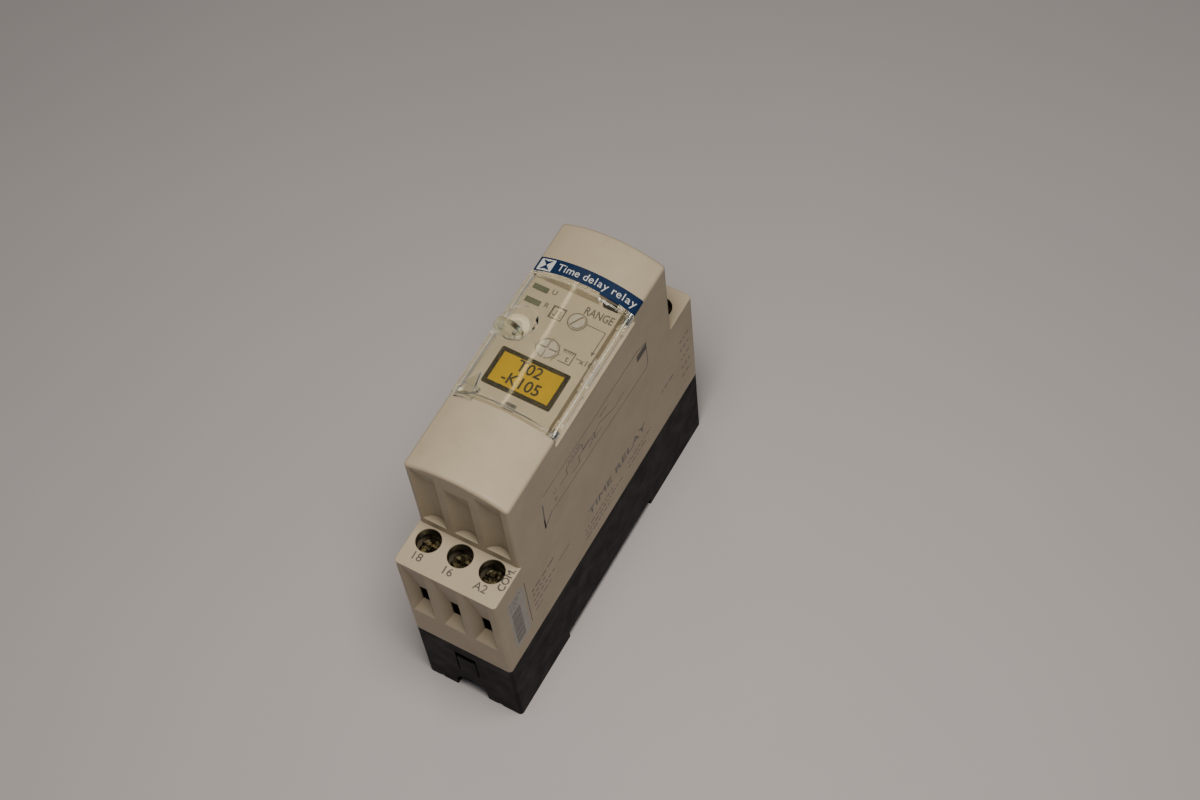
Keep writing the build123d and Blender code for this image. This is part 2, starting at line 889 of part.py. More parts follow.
for end, (_, screw_y, _) in ENDS.items():
    for index, side in enumerate(terminal_sides):
        finish(terminal_screw(terminal_x[index], screw_y), f"terminal_screw_{end}_{side}")
        finish(clamp_cage(terminal_x[index], screw_y), f"clamp_cage_{end}_{side}")
        finish(contact_bar(end, index), f"contact_bar_{end}_{side}")

# ------------------------------------------------------------------ boards
with BuildPart() as main_board:
    block(
        (board_face, board_face + board_thickness),
        (cavity_y[0] + board_edge_gap, cavity_y[1] - board_edge_gap),
        (board_bottom, board_top),
    )
finish(main_board, "main_board")

with BuildPart() as front_board:
    block(
        (-cavity_half_width + board_edge_gap, board_face - board_edge_gap),
        (recess_near_y + window_margin, recess_far_y - board_edge_gap),
        (front_board_height, front_board_top),
    )
finish(front_board, "front_board")

with BuildPart() as board_pin_header:
    block((board_face - header_thickness, board_face), header_y, (header_bottom, front_board_height))
finish(board_pin_header, "board_pin_header")

with BuildPart() as indicator_leds:
    for row_y in lens_rows.values():
        block(lens_stem_x, span(row_y, lens_width / 2), (front_board_top, front_board_top + led_height))
finish(indicator_leds, "indicator_leds")

# ------------------------------------------------------------------ output relay
relay_y_span = span(relay_y, relay_width / 2)
relay_z = (relay_bottom, relay_bottom + relay_length)
relay_base_x = (board_face - relay_base_thickness, board_face)
relay_case_x = (board_face - relay_height, relay_base_x[0])
yoke_x = (coil_x - bobbin_flange_radius - slip_gap - yoke_thickness,
          coil_x - bobbin_flange_radius - slip_gap)
core_bottom = yoke_bottom + yoke_thickness
bobbin_z = (core_bottom + bobbin_end_gap, core_top - core_bare_length)
armature_bottom = yoke_top + armature_gap
armature_top = armature_bottom + armature_thickness
contact_x = coil_x + contact_reach
far_rivet_z = (armature_top + contact_gap, armature_top + contact_gap + contact_rivet)
near_rivet_z = (
    armature_bottom - contact_rest_gap - contact_rivet - contact_rest_gap / 2,
    armature_bottom - contact_rest_gap,
)

with BuildPart() as relay_base:
    block(relay_base_x, relay_y_span, relay_z)
finish(relay_base, "relay_base")

with BuildPart() as relay_case:
    block(relay_case_x, relay_y_span, relay_z)
    block(
        (relay_case_x[0] + relay_wall, relay_case_x[1] + beyond),
        span(relay_y, relay_width / 2 - relay_wall),
        (relay_z[0] + relay_wall, relay_z[1] - relay_wall),
        Mode.SUBTRACT,
    )
finish(relay_case, "relay_case")

with BuildPart() as relay_bobbin:
    for flange_z in (
        (bobbin_z[0], bobbin_z[0] + bobbin_flange),
        (bobbin_z[1] - bobbin_flange, bobbin_z[1]),
    ):
        post(coil_x, relay_y, flange_z, bobbin_flange_radius)
    post(coil_x, relay_y, bobbin_z, core_radius + running_gap + bobbin_wall)
    post(coil_x, relay_y, (bobbin_z[0] - beyond, bobbin_z[1] + beyond),
         core_radius + running_gap, Mode.SUBTRACT)
finish(relay_bobbin, "relay_bobbin")

with BuildPart() as relay_winding:
    winding_z = (bobbin_z[0] + bobbin_flange, bobbin_z[1] - bobbin_flange)
    post(coil_x, relay_y, winding_z, winding_radius)
    post(coil_x, relay_y, winding_z, core_radius + running_gap + bobbin_wall, Mode.SUBTRACT)
finish(relay_winding, "relay_winding")

with BuildPart() as relay_core:
    post(coil_x, relay_y, (core_bottom, core_top), core_radius)
finish(relay_core, "relay_core")

with BuildPart() as relay_yoke:
    block(yoke_x, span(relay_y, armature_half_width), (yoke_bottom, yoke_top))
    block(
        (yoke_x[0], coil_x + core_radius + slip_gap),
        span(relay_y, armature_half_width),
        (yoke_bottom, core_bottom),
    )
finish(relay_yoke, "relay_yoke")

with BuildPart() as relay_armature:
    block(
        (yoke_x[0], coil_x + core_radius + beyond),
        span(relay_y, armature_half_width),
        (armature_bottom, armature_top),
    )
finish(relay_armature, "relay_armature")

with BuildPart() as relay_moving_contact:
    block(
        (coil_x - core_radius, contact_x),
        span(relay_y, armature_half_width / 2),
        (armature_top, armature_top + leaf_thickness),
    )
    post(
        contact_x,
        relay_y,
        (armature_top - leaf_thickness, armature_top + 2 * leaf_thickness),
        contact_radius,
    )
finish(relay_moving_contact, "relay_moving_contact")

with BuildPart() as relay_fixed_contacts:
    for arm_z, rivet_z in (
        ((far_rivet_z[1], far_rivet_z[1] + contact_arm_thickness), far_rivet_z),
        ((near_rivet_z[0] - contact_arm_thickness, near_rivet_z[0]), near_rivet_z),
    ):
        block(
            (contact_x - contact_radius, relay_base_x[0]),
            span(relay_y, contact_arm_half_width),
            arm_z,
        )
        post(contact_x, relay_y, rivet_z, contact_radius)
finish(relay_fixed_contacts, "relay_fixed_contacts")

# ------------------------------------------------------------------ components on the main board
with BuildPart() as storage_capacitors:
    for can_y in capacitor_rows:
        rod_along_x(
            (board_face - capacitor_length, board_face), can_y, capacitor_height, capacitor_radius
        )
finish(storage_capacitors, "storage_capacitors")

with BuildPart() as supply_capacitor:
    block((board_face - film_box_thickness, board_face), film_box_y, film_box_z)
    fillet(supply_capacitor.edges().filter_by(Axis.X), radius=film_box_radius)
finish(supply_capacitor, "supply_capacitor")

with BuildPart() as varistor:
    rod_along_y(board_face - varistor_stand_off, varistor_y, varistor_height, varistor_radius)
    for lead_z in varistor_lead_rows:
        block(
            (board_face - lead_length, board_face),
            span(sum(varistor_y) / 2, lead_half_width),
            span(lead_z, lead_half_width),
        )
finish(varistor, "varistor")

with BuildPart() as timer_chip:
    block((board_face - chip_thickness, board_face - chip_stand_off), chip_y, chip_z)
    for leg in range(chip_leg_count):
        block(
            (board_face - chip_leg_thickness, board_face),
            span(chip_leg_y + chip_leg_pitch * leg, chip_leg_half_width),
            (chip_z[0] - chip_leg_reach, chip_z[1] + chip_leg_reach),
        )
finish(timer_chip, "timer_chip")

with BuildPart() as bridge_rectifier:
    block((board_face - bridge_thickness, board_face), bridge_y, bridge_z)
    chamfer(bridge_rectifier.edges().group_by(Axis.X)[0], length=bridge_chamfer)
finish(bridge_rectifier, "bridge_rectifier")

with BuildPart() as board_resistors:
    for body_y in resistor_rows:
        post(board_face - resistor_stand_off, body_y, resistor_z, resistor_radius)
        for leg_z in resistor_leg_rows:
            block(
                (board_face - resistor_stand_off, board_face),
                span(body_y, lead_half_width),
                span(leg_z, lead_half_width),
            )
finish(board_resistors, "board_resistors")
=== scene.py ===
"""Looks for a narrow rail-mounted time relay: finishes, printed marks, clear cover trim and studio.

Sizes here are millimetres in the part's own frame (+Z out of the rail, +Y up the wall, +X across
the module) and are turned into metres where a mesh is made.
"""

from __future__ import annotations

import logging
import math
from dataclasses import dataclass, field, replace
from enum import Enum
from typing import Callable, Iterable, Sequence

import bmesh
import bpy
from mathutils import Matrix, Vector, noise

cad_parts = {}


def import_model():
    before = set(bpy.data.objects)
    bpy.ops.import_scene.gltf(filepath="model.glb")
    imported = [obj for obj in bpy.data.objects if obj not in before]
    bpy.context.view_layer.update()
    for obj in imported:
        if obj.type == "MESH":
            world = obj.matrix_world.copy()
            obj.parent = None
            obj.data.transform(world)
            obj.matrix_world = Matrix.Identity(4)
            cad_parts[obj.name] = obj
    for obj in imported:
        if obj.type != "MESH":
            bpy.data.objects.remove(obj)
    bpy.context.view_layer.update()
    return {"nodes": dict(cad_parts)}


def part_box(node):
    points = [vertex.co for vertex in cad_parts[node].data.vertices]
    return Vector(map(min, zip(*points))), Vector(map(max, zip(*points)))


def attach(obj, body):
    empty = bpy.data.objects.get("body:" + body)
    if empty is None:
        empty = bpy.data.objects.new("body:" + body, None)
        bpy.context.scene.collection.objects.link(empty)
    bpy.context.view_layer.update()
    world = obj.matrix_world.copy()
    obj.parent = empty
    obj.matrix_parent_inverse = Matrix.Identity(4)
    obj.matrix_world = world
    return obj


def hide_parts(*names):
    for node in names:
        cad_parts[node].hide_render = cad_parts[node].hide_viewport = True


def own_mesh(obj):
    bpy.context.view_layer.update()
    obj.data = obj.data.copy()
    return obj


LOG = logging.getLogger("time_relay")
MM = 0.001
Point2 = tuple[float, float]
Colour = tuple[float, float, float]
Socket = bpy.types.NodeSocket
Mapper = Callable[[float, float, float], Vector]
ENDS = ("lower", "upper")
SIDES = ("left", "middle", "right")

# The colour sockets of a Mix node, which share their names with its other sockets.
MIX_FIRST, MIX_SECOND, MIX_RESULT = 6, 7, 2
# The height of a capital in the built-in lettering at size 1.
CAPITAL = 0.7
# How much longer a printed line is than its run, in line widths, so that corners close.
OVERRUN = 0.9
# The facets of a printed ring for each radian.
RING_FACETS = 8
# The least length of a dash of small print, what chance adds to it, its height and the gap after it,
# in capital heights.
DASH_LEAST, DASH_SPREAD, DASH_HEIGHT, DASH_GAP = 0.7, 3.2, 0.55, 0.6
# The cosines between the flat and the rounded normal where wear starts and where it's full.
EDGE_STARTS, EDGE_FULL = 0.98, 0.75
# How bright dirt and specks, and the painted shade in creases, deep places and wells, are against the
# plastic's own colour.
DIRT_TINT, SPECK_AND_CREASE_SHADE_TINT, DEEP_SHADE_TINT, WELL_SHADE_TINT = 0.45, 0.3, 0.04, 0.06
# The widths of the strip's letters that aren't LETTER_WIDTH wide, in millimetres.
LETTER_WIDTHS = {" ": 0.7, "i": 0.75, "l": 0.75, "m": 1.75, "r": 0.95, "T": 1.25}
LETTER_WIDTH = 1.18


class Body(Enum):
    """The moving groups that new pieces ride on."""

    ROOT = "root"
    COVER = "cover"


class Turn(Enum):
    """Which way a line of lettering runs on its face."""

    ALONG = 0.0
    UPRIGHT = math.pi / 2


def dim(colour: Colour, factor: float) -> Colour:
    """Return a colour with each part multiplied by a factor."""
    return tuple(part * factor for part in colour)


# --------------------------------------------------------------------------- node helpers
class NodeSheet:
    """A material's node tree, with short calls that add and join nodes."""

    def __init__(self, name: str) -> None:
        """Start an empty tree that ends in a material output.

        Args:
            name: The material's name.
        """
        self.material = bpy.data.materials.new(name)
        self.material.use_nodes = True
        self.tree = self.material.node_tree
        self.tree.nodes.clear()
        self.output = self.tree.nodes.new("ShaderNodeOutputMaterial")
        self.place = self.tree.nodes.new("ShaderNodeTexCoord").outputs["Object"]

    def add(self, kind: str, **settings: object) -> bpy.types.Node:
        """Add a node and set its properties.

        Args:
            kind: The node type without its ShaderNode prefix.
            settings: Properties of the node.

        Returns:
            The new node.
        """
        node = self.tree.nodes.new(f"ShaderNode{kind}")
        for key, value in settings.items():
            setattr(node, key, value)
        return node

    def join(self, source: Socket, target: Socket) -> None:
        """Join an output to an input."""
        self.tree.links.new(source, target)

    def feed(self, target: Socket, value: object) -> None:
        """Set an input to a value, or join it to an output.

        Args:
            target: The input.
            value: A number, a colour, or the output to join.
        """
        if isinstance(value, bpy.types.NodeSocket):
            self.join(value, target)
        elif target.type == "RGBA" and len(value) == 3:
            target.default_value = (*value, 1.0)
        else:
            target.default_value = value

    def noise(self, size_mm: float, detail: float = 2.0, stretch: Sequence[float] = (1, 1, 1)) -> Socket:
        """Add object-space noise.

        Args:
            size_mm: The width of one patch.
            detail: How many finer octaves ride on it.
            stretch: Frequency factors along X, Y and Z.

        Returns:
            The noise's factor output.
        """
        mapping = self.add("Mapping")
        mapping.inputs["Scale"].default_value = tuple(stretch)
        self.join(self.place, mapping.inputs["Vector"])
        texture = self.add("TexNoise")
        texture.inputs["Scale"].default_value = 1.0 / (size_mm * MM)
        texture.inputs["Detail"].default_value = detail
        self.join(mapping.outputs["Vector"], texture.inputs["Vector"])
        return texture.outputs["Fac"]

    def patches(self, size_mm: float, detail: float, low: float, high: float,
                to_low: float = 0.0, to_high: float = 1.0) -> Socket:
        """Add noise and stretch its part from low to high over to_low to to_high."""
        return self.remap(self.noise(size_mm, detail), low, high, to_low, to_high)

    def math(self, operation: str, first: object, second: object = 0.0) -> Socket:
        """Add a Math node.

        Args:
            operation: What it works out.
            first: Its first number or output.
            second: Its second number or output.

        Returns:
            Its result.
        """
        node = self.add("Math", operation=operation)
        self.feed(node.inputs[0], first)
        self.feed(node.inputs[1], second)
        return node.outputs[0]

    def remap(self, value: Socket, low: float, high: float, to_low: float, to_high: float) -> Socket:
        """Map a value from one range to another and clamp it there.

        Args:
            value: The value.
            low: What becomes to_low.
            high: What becomes to_high.
            to_low: The result at the first end.
            to_high: The result at the second end.

        Returns:
            The mapped value.
        """
        node = self.add("MapRange")
        self.join(value, node.inputs["Value"])
        ends = {"From Min": low, "From Max": high, "To Min": to_low, "To Max": to_high}
        for name, end in ends.items():
            node.inputs[name].default_value = end
        return node.outputs["Result"]

    def mix(self, factor: Socket, first: object, second: object) -> Socket:
        """Mix two colours.

        Args:
            factor: How much of the second there is.
            first: A colour or an output.
            second: A colour or an output.

        Returns:
            The mixed colour.
        """
        node = self.add("Mix", data_type="RGBA")
        self.join(factor, node.inputs["Factor"])
        self.feed(node.inputs[MIX_FIRST], first)
        self.feed(node.inputs[MIX_SECOND], second)
        return node.outputs[MIX_RESULT]

    def bump(self, height: Socket, distance_mm: float, strength: float,
             normal: Socket | None = None) -> Socket:
        """Add a bump.

        Args:
            height: Its height, from 0 to 1.
            distance_mm: How high 1 stands.
            strength: How much of it shows.
            normal: A normal that it's laid over.

        Returns:
            The bumped normal.
        """
        node = self.add("Bump")
        node.inputs["Strength"].default_value = strength
        node.inputs["Distance"].default_value = distance_mm * MM
        self.join(height, node.inputs["Height"])
        if normal is not None:
            self.join(normal, node.inputs["Normal"])
        return node.outputs["Normal"]

    def worn_edges(self, radius_mm: float) -> tuple[Socket, Socket]:
        """Round the shaded edges.

        Args:
            radius_mm: How wide the rounded band at each edge is.

        Returns:
            The rounded normal, and a mask that is 1 on the edges.
        """
        rounded = self.add("Bevel", samples=4)
        rounded.inputs["Radius"].default_value = radius_mm * MM
        flat = self.add("NewGeometry")
        dot = self.add("VectorMath", operation="DOT_PRODUCT")
        self.join(rounded.outputs["Normal"], dot.inputs[0])
        self.join(flat.outputs["Normal"], dot.inputs[1])
        return rounded.outputs["Normal"], self.remap(dot.outputs["Value"], EDGE_STARTS, EDGE_FULL, 0.0, 1.0)

    def hollows(self, reach_mm: float) -> Socket:
        """Mask holes and narrow recesses.

        Args:
            reach_mm: How far off a wall still closes a place in.

        Returns:
            A mask that falls from 1 in the open towards 0 deep inside.
        """
        closed = self.add("AmbientOcclusion", samples=8, only_local=True)
        closed.inputs["Distance"].default_value = reach_mm * MM
        return closed.outputs["AO"]

    def surface(self, **inputs: object) -> bpy.types.Node:
        """Add the Principled shader and join it to the output.

        Args:
            inputs: Its inputs, with underscores for the spaces in their names.

        Returns:
            The shader.
        """
        shader = self.add("BsdfPrincipled")
        for key, value in inputs.items():
            self.feed(shader.inputs[key.replace("_", " ")], value)
        self.join(shader.outputs["BSDF"], self.output.inputs["Surface"])
        return shader


# --------------------------------------------------------------------------- finishes
@dataclass(frozen=True)
class WellRows:
    """Two rows of upright round wells, in millimetres, whose mask carries painted shade.

    A row's wells stand a pitch apart about the one at x = middle, and the rows lie a reach to each
    side of y = centre.
    """

    pitch: float
    middle: float
    centre: float
    reach: float
    radius: float
    top: float

    def mask(self, sheet: NodeSheet) -> Socket:
        """Mask the wells.

        Args:
            sheet: The material that the mask is for.

        Returns:
            A mask that is 1 inside the wells and under their top.
        """
        split = sheet.add("SeparateXYZ")
        sheet.join(sheet.place, split.inputs["Vector"])
        x, y, z = (sheet.math("DIVIDE", split.outputs[axis], MM) for axis in range(3))
        x = sheet.math("SUBTRACT", x, self.middle)
        step = sheet.math("SNAP", sheet.math("ADD", x, self.pitch / 2), self.pitch)
        step = sheet.math("MAXIMUM", sheet.math("MINIMUM", step, self.pitch), -self.pitch)
        near = sheet.math("SUBTRACT", x, step)
        off_centre = sheet.math("ABSOLUTE", sheet.math("SUBTRACT", y, self.centre))
        row = sheet.math("SUBTRACT", off_centre, self.reach)
        far = sheet.math("ADD", sheet.math("MULTIPLY", near, near), sheet.math("MULTIPLY", row, row))
        inside = sheet.math("LESS_THAN", far, self.radius**2)
        return sheet.math("MULTIPLY", inside, sheet.math("LESS_THAN", z, self.top))


@dataclass(frozen=True)
class MouldedPlastic:
    """A moulded plastic with spark-eroded grain, faint mottling, grime, edges lightened by rubbed wear and
    painted highlight, and painted shade in its recesses and wells.
    """

    name: str
    colour: Colour
    roughness: float = 0.5
    grain_mm: float = 0.22
    grain_depth_mm: float = 0.012
    mottle: float = 0.06
    grime: float = 0.12
    edge_mm: float = 0.25
    edge_wear_and_highlight_gain: float = 1.12
    specular: float = 0.4
    recess_shade: float = 0.0
    recess_shade_reach_mm: float = 5.0
    wells: WellRows | None = None

    def make(self) -> bpy.types.Material:
        """Build the material.

        Returns:
            The new material.
        """
        sheet = NodeSheet(self.name)
        base = self.soil(sheet)
        normal = None
        if self.edge_mm:
            normal, edges = sheet.worn_edges(self.edge_mm)
            # Lightened edges: partly rubbed wear, partly painted highlight.
            worn = tuple(part * self.edge_wear_and_highlight_gain + 0.01 for part in self.colour)
            broken = sheet.math("MULTIPLY", edges, sheet.patches(1.4, 3.0, 0.35, 0.6, 0.2))
            base = sheet.mix(broken, base, worn)
        # Painted shade in creases and deep recesses.
        if self.recess_shade:
            base = self.paint_recess_shade(sheet, base)
        # Painted shade: the screw wells' walls darkened almost to black.
        if self.wells:
            base = sheet.mix(self.wells.mask(sheet), base, dim(self.colour, WELL_SHADE_TINT))
        grain = sheet.bump(sheet.noise(self.grain_mm), self.grain_depth_mm, 0.6, normal)
        rough = sheet.patches(4.0, 4.0, 0.3, 0.7, self.roughness - 0.06, self.roughness + 0.08)
        shader = sheet.surface(Base_Color=base, Roughness=rough, Normal=grain)
        shader.inputs["Specular IOR Level"].default_value = self.specular
        return sheet.material

    def soil(self, sheet: NodeSheet) -> Socket:
        """Mottle the colour and lay dirt and specks over it.

        Args:
            sheet: The material.

        Returns:
            The soiled colour.
        """
        dark, light = dim(self.colour, 1.0 - self.mottle), dim(self.colour, 1.0 + self.mottle)
        base = sheet.mix(sheet.patches(9.0, 3.0, 0.3, 0.7), dark, light)
        dirt = sheet.patches(2.6, 6.0, 0.58, 0.78, to_high=self.grime)
        base = sheet.mix(dirt, base, dim(self.colour, DIRT_TINT))
        specks = sheet.patches(0.5, 1.0, 0.74, 0.78, to_high=self.grime * 2.0)
        return sheet.mix(specks, base, dim(self.colour, SPECK_AND_CREASE_SHADE_TINT))

    def paint_recess_shade(self, sheet: NodeSheet, base: Socket) -> Socket:
        """Paint shade: darken creases a little and deep places almost to black, by how closed in each place
        is.

        Args:
            sheet: The material.
            base: Its colour so far.

        Returns:
            The darkened colour.
        """
        open_part = sheet.hollows(self.recess_shade_reach_mm)
        creases = sheet.remap(open_part, 0.45, 0.85, SPECK_AND_CREASE_SHADE_TINT * self.recess_shade, 0.0)
        base = sheet.mix(creases, base, dim(self.colour, SPECK_AND_CREASE_SHADE_TINT))
        deep = sheet.remap(open_part, 0.15, 0.52, self.recess_shade, 0.0)
        return sheet.mix(deep, base, dim(self.colour, DEEP_SHADE_TINT))


@dataclass(frozen=True)
class ClearMoulding:
    """Clear moulded polycarbonate that lets lamps light what lies under it, with rims whitened as painted
    highlight.
    """

    name: str
    tint: Colour
    ior: float = 1.18
    roughness: float = 0.02
    ripple: float = 0.004
    coat: float = 1.0
    coat_roughness: float = 0.06
    edge_mm: float = 0.3
    edge_highlight_haze: float = 0.45
    passing: tuple[float, ...] = (0.93, 0.93, 0.9, 1.0)

    def make(self) -> bpy.types.Material:
        """Build the material.

        Returns:
            The new material.
        """
        sheet = NodeSheet(self.name)
        ripple = sheet.bump(sheet.noise(9.0, 1.0), 0.02, self.ripple)
        rub = sheet.patches(5.0, 3.0, 0.45, 0.8, self.roughness, self.roughness + 0.04)
        # Whitened, less clear rims: painted highlight standing for the bright reflections along the cover's
        # edges.
        edges = sheet.worn_edges(self.edge_mm)[1]
        broken = sheet.patches(1.8, 3.0, 0.35, 0.6, 0.35 * self.edge_highlight_haze, self.edge_highlight_haze)
        clear = sheet.math("SUBTRACT", 1.0, sheet.math("MULTIPLY", edges, broken))
        shader = sheet.surface(Base_Color=self.tint, Roughness=rub, Normal=ripple,
                               Transmission_Weight=clear)
        shader.inputs["Coat Weight"].default_value = self.coat
        shader.inputs["Coat Roughness"].default_value = self.coat_roughness
        shader.inputs["IOR"].default_value = self.ior
        self.let_light_through(sheet, shader)
        return sheet.material

    def let_light_through(self, sheet: NodeSheet, shader: bpy.types.Node) -> None:
        """Let light that travels between lamps and surfaces pass straight through.

        Args:
            sheet: The material.
            shader: Its shader for all other light.
        """
        window = sheet.add("BsdfTransparent")
        window.inputs["Color"].default_value = self.passing
        path = sheet.add("LightPath")
        chooser = sheet.add("MixShader")
        passes = sheet.math("MAXIMUM", path.outputs["Is Shadow Ray"], path.outputs["Is Diffuse Ray"])
        sheet.join(passes, chooser.inputs["Fac"])
        sheet.join(shader.outputs["BSDF"], chooser.inputs[1])
        sheet.join(window.outputs["BSDF"], chooser.inputs[2])
        sheet.join(chooser.outputs["Shader"], sheet.output.inputs["Surface"])


@dataclass(frozen=True)
class LabelTape:
    """Laminated label tape: a coloured middle inside a printed black border."""

    name: str
    centre: Point2
    size: Point2
    border: float = 0.95
    ragged: float = 0.07
    middle: Colour = (0.50, 0.31, 0.0)
    edge: Colour = (0.004, 0.004, 0.002)

    def make(self) -> bpy.types.Material:
        """Build the material.

        Returns:
            The new material.
        """
        sheet = NodeSheet(self.name)
        warm = sheet.patches(2.5, 3.0, 0.3, 0.7)
        tape = sheet.mix(warm, dim(self.middle, 0.88), self.middle)
        wear = sheet.patches(0.3, 3.0, 0.42, 0.66, to_high=0.45)
        ink = sheet.mix(wear, self.edge, tuple(0.25 * part + 0.03 for part in self.middle))
        sheet.surface(Base_Color=sheet.mix(self.inside_border(sheet), ink, tape),
                      Roughness=sheet.remap(warm, 0, 1, 0.32, 0.42),
                      Normal=sheet.bump(sheet.noise(1.0), 0.01, 0.3))
        return sheet.material

    def inside_border(self, sheet: NodeSheet) -> Socket:
        """Mask the middle, with a slightly ragged outline.

        Args:
            sheet: The material.

        Returns:
            A mask that is 1 inside the border.
        """
        split = sheet.add("SeparateXYZ")
        sheet.join(sheet.place, split.inputs["Vector"])
        ragged = sheet.patches(0.35, 3.0, 0.3, 0.7, -self.ragged, self.ragged)
        inside = []
        for axis, (centre, size) in enumerate(zip(self.centre, self.size)):
            shift = sheet.math("SUBTRACT", split.outputs[axis], centre * MM)
            reach = sheet.math("DIVIDE", sheet.math("ABSOLUTE", shift), MM)
            reach = sheet.math("ADD", reach, ragged)
            inside.append(sheet.math("LESS_THAN", reach, size / 2 - self.border))
        return sheet.math("MULTIPLY", *inside)


@dataclass(frozen=True)
class PlatedMetal:
    """Plated or drawn metal with fine scratches and tarnish.

    Tarnish starts where its noise passes stain_from and is stain_most thick from stain_full on.
    """

    name: str
    colour: Colour
    tarnish: Colour
    roughness: float = 0.3
    stretch: tuple[float, float, float] = (1.0, 1.0, 1.0)
    stain_from: float = 0.4
    stain_full: float = 0.7
    stain_most: float = 0.8
    relief: float = 0.4

    def make(self) -> bpy.types.Material:
        """Build the material.

        Returns:
            The new material.
        """
        sheet = NodeSheet(self.name)
        stain = sheet.patches(0.9, 5.0, self.stain_from, self.stain_full, to_high=self.stain_most)
        base = sheet.mix(stain, self.colour, self.tarnish)
        scratch = sheet.noise(0.12, 3.0, self.stretch)
        rough = sheet.remap(scratch, 0.3, 0.7, self.roughness - 0.08, self.roughness + 0.15)
        shader = sheet.surface(Base_Color=base, Roughness=rough,
                               Normal=sheet.bump(scratch, 0.01, self.relief))
        shader.inputs["Metallic"].default_value = 1.0
        return sheet.material


@dataclass(frozen=True)
class Ink:
    """Pad-printed ink, slightly uneven in density."""

    name: str
    colour: Colour
    fade: Colour
    roughness: float = 0.55
    unevenness: float = 0.5

    def make(self) -> bpy.types.Material:
        """Build the material.

        Returns:
            The new material.
        """
        sheet = NodeSheet(self.name)
        thin = sheet.patches(0.4, 4.0, 0.35, 0.7, to_high=self.unevenness)
        sheet.surface(Base_Color=sheet.mix(thin, self.colour, self.fade),
                      Roughness=sheet.remap(thin, 0, 1, self.roughness, 0.7),
                      Normal=sheet.bump(sheet.noise(0.2), 0.004, 0.3))
        return sheet.material


@dataclass(frozen=True)
class CircuitBoard:
    """Solder mask over copper tracks that show as raised, lighter lines."""

    name: str
    mask: Colour
    track: Colour
    pad_mm: float = 3.1
    row_mm: float = 1.27
    track_mm: float = 0.25

    def make(self) -> bpy.types.Material:
        """Build the material.

        Returns:
            The new material.
        """
        sheet = NodeSheet(self.name)
        cells = sheet.add("TexBrick")
        cells.inputs["Scale"].default_value = 1.0
        cells.inputs["Brick Width"].default_value = self.pad_mm * MM
        cells.inputs["Row Height"].default_value = self.row_mm * MM
        cells.inputs["Mortar Size"].default_value = self.track_mm * MM
        turned = sheet.add("Mapping")
        turned.inputs["Rotation"].default_value = (0.0, math.pi / 2, 0.0)
        sheet.join(sheet.place, turned.inputs["Vector"])
        sheet.join(turned.outputs["Vector"], cells.inputs["Vector"])
        lines = cells.outputs["Fac"]
        base = sheet.mix(lines, self.mask, self.track)
        base = sheet.mix(sheet.patches(5.0, 3.0, 0.3, 0.7, to_high=0.3), base, self.mask)
        sheet.surface(Base_Color=base, Roughness=sheet.remap(lines, 0, 1, 0.3, 0.42),
                      Normal=sheet.bump(lines, 0.03, 0.5))
        return sheet.material


@dataclass(frozen=True)
class WoundWire:
    """Enamelled wire in close turns about an upright coil."""

    name: str
    colour: Colour
    wire_mm: float = 0.25
    wave_factor: float = 6.3
    waver: float = 0.4

    def make(self) -> bpy.types.Material:
        """Build the material.

        Returns:
            The new material.
        """
        sheet = NodeSheet(self.name)
        bands = sheet.add("TexWave", wave_type="BANDS", bands_direction="Z")
        bands.inputs["Scale"].default_value = 1.0 / (self.wire_mm * MM * self.wave_factor)
        bands.inputs["Distortion"].default_value = self.waver
        sheet.join(sheet.place, bands.inputs["Vector"])
        turns = bands.outputs["Fac"]
        sheet.surface(Base_Color=sheet.mix(turns, dim(self.colour, 0.4), self.colour),
                      Roughness=sheet.remap(turns, 0, 1, 0.45, 0.25),
                      Normal=sheet.bump(turns, 0.1, 0.8))
        return sheet.material


# --------------------------------------------------------------------------- meshes
def make_piece(name: str, bm: bmesh.types.BMesh, material: bpy.types.Material, body: Body,
               smooth: bool = False) -> bpy.types.Object:
    """Turn a bmesh in metres into a piece of the object.

    Args:
        name: The piece's name.
        bm: Its shape, which is freed.
        material: Its finish.
        body: The moving group it rides on.
        smooth: Whether its faces are shaded smooth.

    Returns:
        The new object.
    """
    bmesh.ops.remove_doubles(bm, verts=bm.verts, dist=1e-7)
    bmesh.ops.recalc_face_normals(bm, faces=bm.faces)
    mesh = bpy.data.meshes.new(name)
    bm.to_mesh(mesh)
    bm.free()
    mesh.materials.append(material)
    for polygon in mesh.polygons:
        polygon.use_smooth = smooth
    piece = bpy.data.objects.new(name, mesh)
    bpy.context.scene.collection.objects.link(piece)
    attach(piece, body.value)
    LOG.info("made %s with %d faces", name, len(mesh.polygons))
    return piece


def flat_face(height: float) -> Mapper:
    """Return a mapper for a face that looks along +Z at a height."""
    return lambda u, v, w: Vector((u, v, height + w)) * MM


def side_face(reach: float) -> Mapper:
    """Return a mapper for the side that looks along +X: u runs along Y and v along Z."""
    return lambda u, v, w: Vector((reach + w, u, v)) * MM


@dataclass(frozen=True)
class Crown:
    """The front's bow: an arc across the module that rises over its two sides."""

    half: float
    side: float
    rise: float

    @property
    def radius(self) -> float:
        """Return the arc's radius."""
        return (self.half**2 + self.rise**2) / (2 * self.rise)

    def height(self, across: float) -> float:
        """Return how high the arc stands at a place across it."""
        return self.side + self.rise - self.radius + math.sqrt(self.radius**2 - across**2)

    def slope(self, across: float) -> float:
        """Return the arc's slope at a place across it, in radians."""
        return -math.asin(across / self.radius)

    def face(self) -> Mapper:
        """Return a mapper for it: u runs across it and v along Y."""
        return lambda u, v, w: Vector((u, v, self.height(u) + w)) * MM


